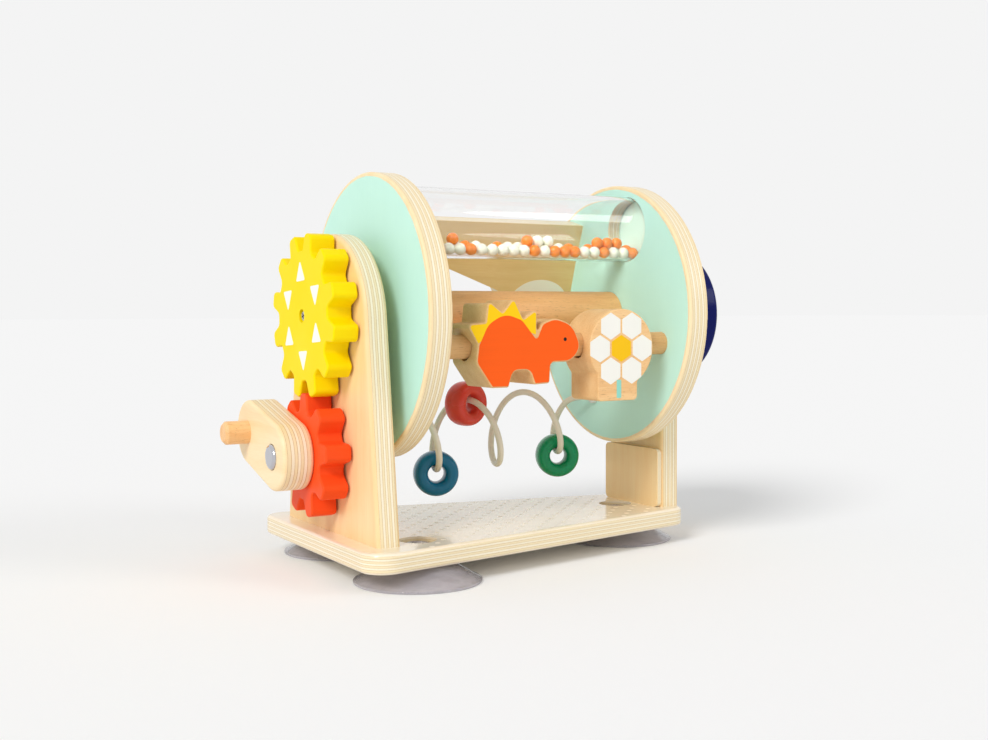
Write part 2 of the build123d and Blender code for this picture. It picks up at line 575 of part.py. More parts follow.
def wire_path():
    """Straight into each disc, a bend, and three turns between, as arcs that meet smoothly."""
    y, z = station("wire")
    end_x = DISC_IN + POCKET
    run_x = DISC_IN - WIRE_STRAIGHT
    along = Vector(1, 0, 0)
    first, last = WIRE_TURN_IN, 360 * HELIX_TURNS - WIRE_TURN_IN
    quarters = round((last - first) / 90)
    knots = [(Vector(-run_x, y, z), along)]
    for n in range(quarters + 1):
        turn = first + (last - first) * n / quarters
        knots.append((helix_point(turn), helix_direction(turn)))
    knots.append((Vector(run_x, y, z), along))
    edges = [Line((-end_x, y, z), (-run_x, y, z))]
    for (start, start_dir), (end, end_dir) in zip(knots, knots[1:]):
        edges += biarc(start, start_dir, end, end_dir)
    edges.append(Line((run_x, y, z), (end_x, y, z)))
    return Wire(edges)


def report_wire(path, solid):
    """Prints the tightest bend, the least gap of the wire to itself and its volume."""
    radii = [edge.radius for edge in path.edges() if edge.geom_type == GeomType.CIRCLE]
    count = 600
    points = [path @ (n / count) for n in range(count + 1)]
    skip = int(count * 4 * WIRE_R * 2 / path.length)
    gap = min((points[i] - points[j]).length for i in range(count + 1)
              for j in range(i + skip, count + 1))
    print(f"wire: length {path.length:.1f}, tightest bend {min(radii):.1f},"
          f" least gap to itself {gap - 2 * WIRE_R:.2f},"
          f" volume {solid.volume:.0f} of {math.pi * WIRE_R ** 2 * path.length:.0f}")


def bead_wire():
    path = wire_path()
    section = Plane(origin=path @ 0, z_dir=path % 0) * Circle(WIRE_R)
    solid = sweep(section, path)
    report_wire(path, solid)
    return solid


def bead(turn):
    """A ring bead that hangs on the wire at a turn of the helix, its bore along the wire."""
    ring = revolve(Plane.XZ * Pos((BEAD_R + BEAD_HOLE_R) / 2, 0)
                   * RectangleRounded(BEAD_R - BEAD_HOLE_R, BEAD_THICK, BEAD_ROUND), Axis.Z)
    place = Plane(origin=helix_point(turn) - Vector(0, 0, BEAD_HANG), z_dir=helix_direction(turn))
    return place * ring


def build():
    """Every sub-part by its node name."""
    return {
        "base_plate": base_plate(),
        "suction_cups": suction_cups(),
        "left_upright": left_upright(),
        "right_upright": right_upright(),
        "upright_spacer": upright_spacer(),
        "upright_screws": upright_screws(),
        "crank_axle": crank_axle(),
        "crank_cap": crank_cap(),
        "crank_gear": crank_gear(),
        "crank_arm": crank_arm(),
        "crank_peg": crank_peg(),
        "left_disc": disc(-DISC_IN, -DISC_OUT),
        "right_disc": disc(DISC_IN, DISC_OUT),
        "center_beam": center_beam(),
        "left_axle": left_axle(),
        "right_axle": right_axle(),
        "left_spacer": left_spacer(),
        "right_spacer": right_spacer(),
        "drum_gear": drum_gear(),
        "gear_screw": gear_screw(),
        "hand_knob": hand_knob(),
        "bead_tube": bead_tube(),
        "tube_balls_orange": tube_balls("o"),
        "tube_balls_cream": tube_balls("c"),
        "figure_rod": figure_rod(),
        "dinosaur_block": dinosaur_block(),
        "flower_block": flower_block(),
        "back_panel": back_panel(),
        "panel_pins": panel_pins(),
        "bead_wire": bead_wire(),
        **{name: bead(turn) for name, turn in BEAD_TURNS.items()},
    }


def write_part(name, solid):
    """Moves a sub-part from the drum's frame to the toy's frame and writes it."""
    export_step(Pos(X_SHIFT, 0, AXLE_HEIGHT) * solid, f"parts/{name}.step")


os.makedirs("parts", exist_ok=True)
for node, shape in build().items():
    write_part(node, shape)
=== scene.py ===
"""Looks of a wooden crank gear toy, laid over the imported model.

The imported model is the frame: every piece here takes its place from the CAD nodes' boxes and
rides on one of its bodies. The boards, gears and dowels keep their CAD shape and get finishes
that are worked out in solid coordinates, so that plywood shows its layers wherever it is cut.
The suction cups, tube, balls, wire and beads are smooth surfaces computed with numpy, and the
painted figures are thin plates of paint on the wood. Lengths are in metres unless a name ends
in _mm or _MM; shader coordinates are in millimetres.
"""

import json
import logging
import math
from dataclasses import dataclass, field
from enum import Enum

import bmesh
import bpy
import numpy as np
from bpy.types import Material, Node, NodeSocket, NodeTree
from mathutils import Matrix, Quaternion, Vector


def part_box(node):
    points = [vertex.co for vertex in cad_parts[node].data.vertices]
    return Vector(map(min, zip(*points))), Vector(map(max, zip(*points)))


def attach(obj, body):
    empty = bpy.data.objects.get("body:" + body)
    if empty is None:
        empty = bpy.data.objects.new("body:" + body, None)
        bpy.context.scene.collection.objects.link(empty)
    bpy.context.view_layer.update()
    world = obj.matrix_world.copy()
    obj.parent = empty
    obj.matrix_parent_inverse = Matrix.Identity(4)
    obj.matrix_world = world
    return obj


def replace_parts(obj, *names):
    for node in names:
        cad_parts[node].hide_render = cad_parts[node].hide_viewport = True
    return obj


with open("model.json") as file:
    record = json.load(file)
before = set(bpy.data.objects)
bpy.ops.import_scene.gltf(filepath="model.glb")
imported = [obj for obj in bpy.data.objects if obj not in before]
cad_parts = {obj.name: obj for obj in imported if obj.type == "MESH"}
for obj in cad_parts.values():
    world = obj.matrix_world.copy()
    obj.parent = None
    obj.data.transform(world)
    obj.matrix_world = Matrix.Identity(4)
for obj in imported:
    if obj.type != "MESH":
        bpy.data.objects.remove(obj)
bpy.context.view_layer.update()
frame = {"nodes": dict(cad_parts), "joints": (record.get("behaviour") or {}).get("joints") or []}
LOG = logging.getLogger("crank_toy")
MM = 0.001


# ---------------------------------------------------------------- places read from the frame
def corners_of(node: str) -> tuple[np.ndarray, np.ndarray]:
    """Lowest and highest corner of a CAD node.

    Args:
        node: name of the CAD node.

    Returns:
        The two corners as arrays, in metres.
    """
    low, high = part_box(node)
    return np.array(low), np.array(high)


def middle_of(node: str) -> np.ndarray:
    """Centre of a CAD node's box, in metres."""
    low, high = corners_of(node)
    return (low + high) / 2


def joint_axis(joint: str) -> np.ndarray:
    """Unit direction of a joint's axis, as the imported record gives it."""
    axis = next(entry["axis"] for entry in frame["joints"] if entry["name"] == joint)
    return unit(np.array(axis, float))


def unit(vectors: np.ndarray) -> np.ndarray:
    """The same vectors at length one, along the last axis of the array."""
    return vectors / np.linalg.norm(vectors, axis=-1, keepdims=True)


AXLE = middle_of("center_beam")
ALONG, BACK, UP = np.eye(3)


def circle(count: int) -> tuple[np.ndarray, np.ndarray]:
    """Cosine and sine of count even steps round a full turn."""
    turn = np.linspace(0, 2 * math.pi, count, endpoint=False)
    return np.cos(turn), np.sin(turn)


def look_along(way: np.ndarray, roll: float = 0.0) -> tuple[float, float, float]:
    """Euler angles of a camera or lamp that looks along a direction, with Z up.

    Args:
        way: unit direction of view.
        roll: turn about the direction of view.

    Returns:
        XYZ angles in radians.
    """
    turn = Vector(way).to_track_quat("-Z", "Y")
    return tuple((turn @ Quaternion((0, 0, 1), roll)).to_euler())


# ---------------------------------------------------------------- surfaces
@dataclass
class Surface:
    """Grids of points and flat caps that become one mesh."""

    name: str
    points: list[np.ndarray] = field(default_factory=list)
    faces: list[list[int]] = field(default_factory=list)
    count: int = 0

    def add_grid(self, grid: np.ndarray, loop_rows: bool = False, loop_columns: bool = False) -> int:
        """Adds a grid of quads: one face between each four neighbouring points.

        Args:
            grid: points in rows and columns, shape (rows, columns, 3).
            loop_rows: whether the last row joins the first.
            loop_columns: whether the last column joins the first.

        Returns:
            The number of the grid's first point.
        """
        rows, columns = grid.shape[:2]
        number = np.arange(rows * columns).reshape(rows, columns) + self.count
        if loop_rows:
            number = np.vstack((number, number[:1]))
        if loop_columns:
            number = np.hstack((number, number[:, :1]))
        quads = np.stack((number[:-1, :-1], number[1:, :-1], number[1:, 1:], number[:-1, 1:]), axis=-1)
        self.faces.extend(quads.reshape(-1, 4).tolist())
        self.points.append(grid.reshape(-1, 3))
        first = self.count
        self.count += rows * columns
        return first

    def add_capped(self, rings: np.ndarray) -> None:
        """Adds rings of points, shape (rings, points, 3), and a flat face on the first and the last."""
        first = self.add_grid(rings, loop_columns=True)
        for start in (first, self.count - rings.shape[1]):
            self.faces.append(list(range(start, start + rings.shape[1])))

    def piece(self, body: str, slot: str, material: Material,
              crease: float = 40.0) -> bpy.types.Object:
        """Makes the mesh, merges doubled points, turns every face outwards and dresses it.

        Args:
            body: CAD body that the piece moves with.
            slot: record's material slot; not used.
            material: its finish.
            crease: edges sharper than this many degrees stay sharp.

        Returns:
            The new object, whose place is in its mesh.
        """
        mesh = bpy.data.meshes.new(self.name)
        mesh.from_pydata(np.vstack(self.points).tolist(), [], self.faces)
        shell = bmesh.new()
        shell.from_mesh(mesh)
        bmesh.ops.remove_doubles(shell, verts=shell.verts, dist=1e-7)
        bmesh.ops.recalc_face_normals(shell, faces=shell.faces)
        shell.to_mesh(mesh)
        shell.free()
        mesh.polygons.foreach_set("use_smooth", np.ones(len(mesh.polygons), bool))
        mesh.set_sharp_from_angle(angle=math.radians(crease))
        mesh.materials.append(material)
        piece = bpy.data.objects.new(self.name, mesh)
        bpy.context.scene.collection.objects.link(piece)
        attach(piece, body)
        LOG.info("%s: %d points, rides on %s", self.name, len(mesh.vertices), body)
        return piece


NEARLY_UPRIGHT = 0.9


def turned(profile: np.ndarray, origin: np.ndarray, axis: np.ndarray, segments: int) -> np.ndarray:
    """A turned surface: each profile point circles the axis.

    P(s, t) = origin + height(s) * axis + radius(s) * (cos t * across + sin t * beside).

    Args:
        profile: radius and height of each point, shape (n, 2).
        origin: a point on the axis.
        axis: unit direction of the axis.
        segments: points round one circle.

    Returns:
        Points of shape (n, segments, 3).
    """
    across = unit(np.cross(UP if abs(axis[2]) < NEARLY_UPRIGHT else BACK, axis))
    beside = np.cross(axis, across)
    cosine, sine = circle(segments)
    ring = cosine[:, None] * across + sine[:, None] * beside
    radius, height = profile[:, 0], profile[:, 1]
    return origin + height[:, None, None] * axis + radius[:, None, None] * ring[None]


def rounded_outline(corners: np.ndarray, radii: np.ndarray, steps: int = 7) -> np.ndarray:
    """An outline with an arc at each corner.

    The arc's centre lies on the corner's bisector at r / sin(half angle), and the arc runs
    between the two points at r / tan(half angle) from the corner.

    Args:
        corners: corners in order, shape (n, 2).
        radii: rounding of each corner.
        steps: points on each arc.

    Returns:
        Points of the outline, shape (n * steps, 2).
    """
    back = unit(np.roll(corners, 1, axis=0) - corners)
    ahead = unit(np.roll(corners, -1, axis=0) - corners)
    half = np.arccos(np.clip((back * ahead).sum(axis=1), -1, 1)) / 2
    centre = corners + unit(back + ahead) * (radii / np.sin(half))[:, None]
    start = corners + back * (radii / np.tan(half))[:, None] - centre
    end = corners + ahead * (radii / np.tan(half))[:, None] - centre
    first = np.arctan2(start[:, 1], start[:, 0])
    sweep = (np.arctan2(end[:, 1], end[:, 0]) - first + math.pi) % (2 * math.pi) - math.pi
    angle = first[:, None] + sweep[:, None] * np.linspace(0, 1, steps)
    arc = np.stack((np.cos(angle), np.sin(angle)), axis=-1) * radii[:, None, None]
    return (centre[:, None, :] + arc).reshape(-1, 2)


LEAST_ROUNDING = 0.25


def drawn_in(corners: np.ndarray, radii: np.ndarray, gap: float) -> tuple[np.ndarray, np.ndarray]:
    """A counter-clockwise outline with every side moved inwards.

    A corner moves by gap * (n0 + n1) / (1 + n0.n1), where n0 and n1 are its sides' normals.

    Args:
        corners: corners in order, shape (n, 2).
        radii: rounding of each corner.
        gap: how far each side moves.

    Returns:
        The new corners and their roundings.
    """
    side = unit(np.roll(corners, -1, axis=0) - corners)
    normal = np.stack((-side[:, 1], side[:, 0]), axis=1)
    before = np.roll(normal, 1, axis=0)
    lean = 1 + (before * normal).sum(axis=1)
    turn = np.cross(np.roll(side, 1, axis=0), side)
    new_radii = np.maximum(radii - gap * np.sign(turn), LEAST_ROUNDING * radii)
    return corners + gap * (before + normal) / lean[:, None], new_radii


@dataclass
class PaintPlane:
    """A flat face of a piece that carries paint."""

    origin: np.ndarray
    right: np.ndarray
    up: np.ndarray
    outwards: np.ndarray
    sunk: float = 0.04 * MM
    upright_share: float = 0.6

    def lift(self, outline: np.ndarray, height: float) -> np.ndarray:
        """Puts a flat outline on the plane, at a height off the wood."""
        flat = outline[:, :1] * self.right + outline[:, 1:] * self.up
        return self.origin + flat + self.outwards * height

    def plate(self, name: str, outlines: list[np.ndarray], thickness: float) -> Surface:
        """Coats of paint: each outline rises from just under the wood and rounds in at its top.

        Args:
            name: name of the piece.
            outlines: closed outlines in the plane, each of shape (n, 2).
            thickness: how far the paint stands off the wood.

        Returns:
            The surface, a closed plate for each outline.
        """
        surface = Surface(name)
        for outline in outlines:
            centre = outline.mean(axis=0)
            inner = outline - unit(outline - centre) * thickness * self.upright_share
            rings = np.stack((self.lift(outline, -self.sunk),
                              self.lift(outline, thickness * self.upright_share),
                              self.lift(inner, thickness)))
            surface.add_capped(rings)
        return surface

    def coat(self, name: str, outlines: list[np.ndarray], thickness: float, body: str, slot: str,
             material: Material) -> None:
        """Makes a plate with flat faces and crisp rims, which rides on a body."""
        self.plate(name, outlines, thickness).piece(body, slot, material, crease=15.0)


# ---------------------------------------------------------------- node graphs
NOISE_FILLS = (0.3, 0.7)


class Graph:
    """Adds nodes to a tree and links them in the same call."""

    def __init__(self, tree: NodeTree) -> None:
        """Keeps the tree that the nodes go into."""
        self.tree = tree

    def feed(self, node: Node, inputs: dict) -> None:
        """Links each input to its source socket, or sets it where it is given a plain value."""
        for name, value in inputs.items():
            if isinstance(value, NodeSocket):
                self.tree.links.new(value, node.inputs[name])
            else:
                node.inputs[name].default_value = value

    def add(self, kind: str, inputs: dict | None = None, **settings: object) -> Node:
        """Adds one node.

        Args:
            kind: Blender's type name of the node.
            inputs: value or source socket for each input, by its name or number.
            settings: the node's own properties.

        Returns:
            The new node.
        """
        node = self.tree.nodes.new(kind)
        for name, value in settings.items():
            setattr(node, name, value)
        self.feed(node, inputs or {})
        return node

    def math(self, operation: str, *terms: object) -> NodeSocket:
        """One sum or comparison of numbers."""
        return self.add("ShaderNodeMath", dict(enumerate(terms)), operation=operation).outputs[0]

    def vector(self, operation: str, *terms: object) -> NodeSocket:
        """One vector sum; a dot product or a length comes out as a number."""
        node = self.add("ShaderNodeVectorMath", dict(enumerate(terms)), operation=operation)
        return node.outputs["Value" if operation in ("DOT_PRODUCT", "LENGTH", "DISTANCE") else "Vector"]

    def mix(self, share: object, low: object, high: object) -> NodeSocket:
        """A colour between two others."""
        node = self.add("ShaderNodeMix", {0: share, 6: low, 7: high}, data_type="RGBA")
        return node.outputs[2]

    def noise(self, place: object, stretch: tuple, detail: float = 3.0) -> NodeSocket:
        """Noise from 0 to 1 of a place in millimetres.

        Args:
            place: socket of the place.
            stretch: cycles per millimetre along X, Y and Z.
            detail: octaves of the noise.

        Returns:
            The noise.
        """
        scaled = self.vector("MULTIPLY", place, stretch)
        return self.add("ShaderNodeTexNoise", {"Vector": scaled, "Scale": 1.0, "Detail": detail}).outputs[0]

    def span(self, value: object, low: float, high: float, to_low: float = 0.0,
             to_high: float = 1.0) -> NodeSocket:
        """A value's range carried to another range, with its ends held."""
        inputs = {"Value": value, "From Min": low, "From Max": high, "To Min": to_low, "To Max": to_high}
        return self.add("ShaderNodeMapRange", inputs).outputs[0]

    def clouds(self, place: object, cycles: float, detail: float, low: float = 0.0,
               high: float = 1.0) -> NodeSocket:
        """Noise that is alike each way, with cycles per millimetre, carried to a range."""
        return self.spread(self.noise(place, (cycles, cycles, cycles), detail), low, high)

    def spread(self, noise: object, low: float = 0.0, high: float = 1.0) -> NodeSocket:
        """The range that noise mostly fills, carried to another range."""
        return self.span(noise, *NOISE_FILLS, low, high)

    def group(self, tree: NodeTree, inputs: dict) -> bpy.types.bpy_prop_collection:
        """Places a node group with its own values, and returns its outputs."""
        return self.add("ShaderNodeGroup", inputs, node_tree=tree).outputs

    def join(self, parts: dict) -> NodeSocket:
        """A vector from its parts, by their numbers."""
        return self.add("ShaderNodeCombineXYZ", parts).outputs[0]

    def split(self, place: object) -> bpy.types.bpy_prop_collection:
        """A vector's three parts."""
        return self.add("ShaderNodeSeparateXYZ", {0: place}).outputs


def new_group(name: str, inputs: dict[str, str], outputs: dict[str, str]) -> tuple:
    """An empty node group with named sockets.

    Args:
        name: name of the group.
        inputs: socket type of each input.
        outputs: socket type of each output.

    Returns:
        The group, a graph to fill it, its input node and its output node.
    """
    tree = bpy.data.node_groups.new(name, "ShaderNodeTree")
    for label, kind in inputs.items():
        tree.interface.new_socket(name=label, in_out="INPUT", socket_type=kind)
    for label, kind in outputs.items():
        tree.interface.new_socket(name=label, in_out="OUTPUT", socket_type=kind)
    return tree, Graph(tree), tree.nodes.new("NodeGroupInput"), tree.nodes.new("NodeGroupOutput")


FLOAT, VECTOR, COLOUR = "NodeSocketFloat", "NodeSocketVector", "NodeSocketColor"


def srgb(code: str) -> tuple[float, float, float, float]:
    """A colour written as RRGGBB, as the linear values that shaders take."""
    part = np.array([int(code[n:n + 2], 16) for n in (0, 2, 4)]) / 255
    linear = np.where(part <= 0.04045, part / 12.92, ((part + 0.055) / 1.055) ** 2.4)
    return (*[float(value) for value in linear], 1.0)


# Cycles per millimetre along and across the grain, and octaves, of each pattern in the wood.
BEND_NOISE = ((0.02, 0.05, 0.05), 2.0)
BAND_NOISE = ((0.008, 0.16, 0.16), 3.0)
STREAK_NOISE = ((0.05, 1.5, 1.5), 4.0)
FLECK_NOISE = ((0.32, 3.2, 3.2), 1.0)
FLECK_FROM, FLECK_FULL = 0.63, 0.74
BEND_Y_MM, BEND_Z_MM = 9.0, 6.0


def wood_streaks_group() -> NodeTree:
    """Grain along X: long soft bands, fine streaks and short dark flecks."""
    tree, graph, given, result = new_group("wood_streaks", {"Place": VECTOR}, {
        "Band": FLOAT, "Streak": FLOAT, "Fleck": FLOAT})
    place = given.outputs["Place"]
    bend = graph.noise(place, *BEND_NOISE)
    shift = {1: graph.math("MULTIPLY", bend, BEND_Y_MM), 2: graph.math("MULTIPLY", bend, BEND_Z_MM)}
    shifted = graph.vector("ADD", place, graph.join(shift))
    graph.feed(result, {"Band": graph.spread(graph.noise(shifted, *BAND_NOISE)),
                        "Streak": graph.spread(graph.noise(shifted, *STREAK_NOISE)),
                        "Fleck": graph.span(graph.noise(shifted, *FLECK_NOISE), FLECK_FROM, FLECK_FULL)})
    return tree


PLY_LAYERS = (0.0, 0.125, 0.245, 0.355, 0.455, 0.55, 0.65, 0.76, 0.875)
GLUE_HALF = 0.007
LAYER_WAVE = 0.012
LONG_GRAIN, END_GRAIN, GLUE_LINE, LAYER_SHADE = "FCF2D8", "F4E3BA", "D0AC74", "A87C48"
LINES_IN_BOARD = 34.0


def ply_layers_group() -> NodeTree:
    """Colour of a cut through plywood at a depth from 0 to 1: layers, glue lines and streaks."""
    tree, graph, given, result = new_group("ply_layers", {"Depth": FLOAT, "Place": VECTOR}, {
        "Color": COLOUR, "Height": FLOAT})
    place = given.outputs["Place"]
    wave = graph.spread(graph.noise(place, (0.0, 0.03, 0.03), 2.0), -LAYER_WAVE, LAYER_WAVE)
    depth = graph.math("ADD", given.outputs["Depth"], wave)
    ramp = graph.add("ShaderNodeValToRGB", {0: depth})
    ramp.color_ramp.interpolation = "CONSTANT"
    stops = ramp.color_ramp.elements
    stops.remove(stops[1])
    stops[0].color = srgb(LONG_GRAIN)
    for number, edge in enumerate(PLY_LAYERS[1:], start=1):
        stops.new(edge - GLUE_HALF).color = srgb(GLUE_LINE)
        stops.new(edge + GLUE_HALF).color = srgb(END_GRAIN if number % 2 else LONG_GRAIN)
    in_layers = graph.join({0: graph.math("MULTIPLY", depth, LINES_IN_BOARD),
                            1: graph.vector("LENGTH", place)})
    lines = graph.noise(in_layers, (1.0, 0.02, 1.0), 4.0)
    shade = graph.math("MULTIPLY", graph.spread(lines, 0.90, 1.05),
                       graph.clouds(place, 1.1, 2.0, 0.97, 1.03))
    colour = graph.mix(graph.math("SUBTRACT", 1.0, shade), ramp.outputs[0], srgb(LAYER_SHADE))
    graph.feed(result, {"Color": colour, "Height": lines})
    return tree


THIN_COAT = 0.86
CLOUD_SHOW = 0.22
PAINT_ROUGH = (0.30, 0.42)


def paint_skin_group() -> NodeTree:
    """A sprayed coat on wood: faint grain showing through, thickness that varies in clouds, and orange
    peel.
    """
    tree, graph, given, result = new_group(
        "paint_skin", {"Color": COLOUR, "Place": VECTOR, "Grain": FLOAT},
        {"Color": COLOUR, "Height": FLOAT, "Roughness": FLOAT})
    place, colour = given.outputs["Place"], given.outputs["Color"]
    cloud = graph.clouds(place, 0.04, 3.0)
    grain = graph.spread(graph.noise(place, (0.035, 0.8, 0.8), 4.0))
    peel = graph.noise(place, (1.6, 1.6, 1.6), 2.0)
    darker = graph.vector("MULTIPLY", colour, (THIN_COAT, THIN_COAT, THIN_COAT))
    share = graph.math("MULTIPLY", grain, given.outputs["Grain"])
    soft = graph.mix(graph.math("MULTIPLY", cloud, CLOUD_SHOW), colour, darker)
    graph.feed(result, {"Color": graph.mix(share, soft, darker),
                        "Height": graph.math("ADD", graph.math("MULTIPLY", peel, 0.5), share),
                        "Roughness": graph.span(cloud, 0.0, 1.0, *PAINT_ROUGH)})
    return tree


def handling_group() -> NodeTree:
    """Slight rubs and smudges: a roughness that varies a little round a middle value."""
    tree, graph, given, result = new_group("handling", {"Place": VECTOR, "Roughness": FLOAT}, {
        "Roughness": FLOAT})
    smudge = graph.clouds(given.outputs["Place"], 0.07, 4.0, -0.05, 0.06)
    graph.feed(result, {"Roughness": graph.math("ADD", given.outputs["Roughness"], smudge)})
    return tree


def printed_dots_group() -> NodeTree:
    """Staggered dots: in both halves of a cell, the distance to its middle is compared."""
    tree, graph, given, result = new_group(
        "printed_dots", {"Place": VECTOR, "Pitch": FLOAT, "Radius": FLOAT}, {"Mask": FLOAT})
    pitch = given.outputs["Pitch"]
    parts = graph.split(given.outputs["Place"])
    masks = []
    for shift in (0.0, 0.5):
        offsets = {}
        for axis in (0, 1):
            cell = graph.math("ADD", graph.math("DIVIDE", parts[axis], pitch), shift)
            past_middle = graph.math("SUBTRACT", graph.math("FRACT", cell), 0.5)
            offsets[axis] = graph.math("MULTIPLY", past_middle, pitch)
        reach = graph.vector("LENGTH", graph.join(offsets))
        masks.append(graph.math("LESS_THAN", reach, given.outputs["Radius"]))
    graph.feed(result, {"Mask": graph.math("MAXIMUM", *masks)})
    return tree


@dataclass
class Groups:
    """The effects that several finishes share."""

    streaks: NodeTree = field(default_factory=wood_streaks_group)
    ply: NodeTree = field(default_factory=ply_layers_group)
    paint: NodeTree = field(default_factory=paint_skin_group)
    handling: NodeTree = field(default_factory=handling_group)
    dots: NodeTree = field(default_factory=printed_dots_group)


GROUPS = Groups()


# ---------------------------------------------------------------- finishes
class Grain(Enum):
    """Axis that the wood's grain runs along, as the order in which X, Y and Z are read."""

    ALONG_X = (0, 1, 2)
    ALONG_Y = (1, 2, 0)
    ALONG_Z = (2, 0, 1)


class Finish:
    """A material in the making: its graph, its shader and the place in millimetres."""

    def __init__(self, name: str, grain: Grain = Grain.ALONG_X, seed: float = 0.0) -> None:
        """Starts the material.

        Args:
            name: name of the material.
            grain: axis of the grain.
            seed: shift along the pattern, in millimetres, so that no two pieces look alike.
        """
        self.material = bpy.data.materials.new(name)
        self.material.use_nodes = True
        self.graph = Graph(self.material.node_tree)
        self.shader = self.material.node_tree.nodes["Principled BSDF"]
        spot = self.graph.add("ShaderNodeTexCoord").outputs["Object"]
        self.place = self.graph.add("ShaderNodeVectorMath", {0: spot, "Scale": 1 / MM},
                                    operation="SCALE").outputs["Vector"]
        parts = self.graph.split(self.place)
        along_grain = self.graph.join({n: parts[axis] for n, axis in enumerate(grain.value)})
        self.grain_place = self.graph.vector("ADD", along_grain, (seed, 1.7 * seed, 0.6 * seed))

    def set(self, **values: object) -> None:
        """Sets or links the shader's sockets; an underscore in a name stands for a space."""
        self.graph.feed(self.shader, {name.replace("_", " "): value for name, value in values.items()})

    def bump(self, height: NodeSocket, depth_mm: float) -> None:
        """Raises the surface by a height from 0 to 1, at most depth_mm deep."""
        inputs = {"Height": height, "Distance": depth_mm * MM, "Strength": 1.0}
        self.set(Normal=self.graph.add("ShaderNodeBump", inputs).outputs[0])

    def handled(self, roughness: float) -> NodeSocket:
        """A roughness with slight rubs and smudges."""
        return self.graph.group(GROUPS.handling, {"Place": self.place, "Roughness": roughness})[0]

    def skin(self, colour: str, grain_show: float) -> bpy.types.bpy_prop_collection:
        """Colour, height and roughness of a sprayed coat that lets some of the grain show."""
        return self.graph.group(GROUPS.paint, {"Color": srgb(colour), "Place": self.grain_place,
                                               "Grain": grain_show})

    def wood(self, light: str, dark: str, band: float, streak: float) -> tuple:
        """Wood between two colours.

        Args:
            light: colour off the bands and streaks.
            dark: colour on them.
            band: weight of the long soft bands.
            streak: weight of the fine streaks.

        Returns:
            The colour, and the outputs of the grain's pattern.
        """
        streaks = self.graph.group(GROUPS.streaks, {"Place": self.grain_place})
        share = self.graph.math("ADD", self.graph.math("MULTIPLY", streaks["Band"], band),
                                self.graph.math("MULTIPLY", streaks["Streak"], streak))
        return self.graph.mix(share, srgb(light), srgb(dark)), streaks


WOOD_GLOSS = 0.3


@dataclass(frozen=True)
class Beech:
    """Steamed beech: warm, with short dark flecks along the grain."""

    name: str
    light: str = "F0C288"
    dark: str = "DAA266"
    grain: Grain = Grain.ALONG_X
    seed: float = 0.0
    roughness: float = 0.42
    fleck: str = "9A6234"
    fleck_show: float = 0.5
    pores_mm: float = 0.03

    def material(self) -> Material:
        """Makes the material."""
        finish = Finish(self.name, self.grain, self.seed)
        graph = finish.graph
        base, streaks = finish.wood(self.light, self.dark, 0.55, 0.45)
        flecks = graph.math("MULTIPLY", streaks["Fleck"], self.fleck_show)
        finish.set(Base_Color=graph.mix(flecks, base, srgb(self.fleck)),
                   Roughness=finish.handled(self.roughness), Specular_IOR_Level=WOOD_GLOSS)
        finish.bump(graph.math("SUBTRACT", streaks["Streak"], streaks["Fleck"]), self.pores_mm)
        return finish.material


@dataclass(frozen=True)
class Coat:
    """Paint on both faces of a plywood board, and at the bottom of a blind hole in it.

    The painted circle lies about centre, and what lies outside its radius stays bare. The hole
    lies about pocket, and its bottom is at pocket_depth, a share of the board's thickness.
    """

    colour: str
    centre: tuple[float, float, float]
    radius: float
    pocket: tuple[float, float, float]
    pocket_radius: float
    pocket_colour: str
    pocket_depth: float
    grain_show: float = 0.10
    ragged_mm: float = 0.12


# A board's faces lie this far from its middle or more, and a hole's bottom this near its depth,
# as shares of its thickness.
PAINTED_FACE, PRINTED_FACE, BOTTOM_LAYER = 0.488, 0.49, 0.02


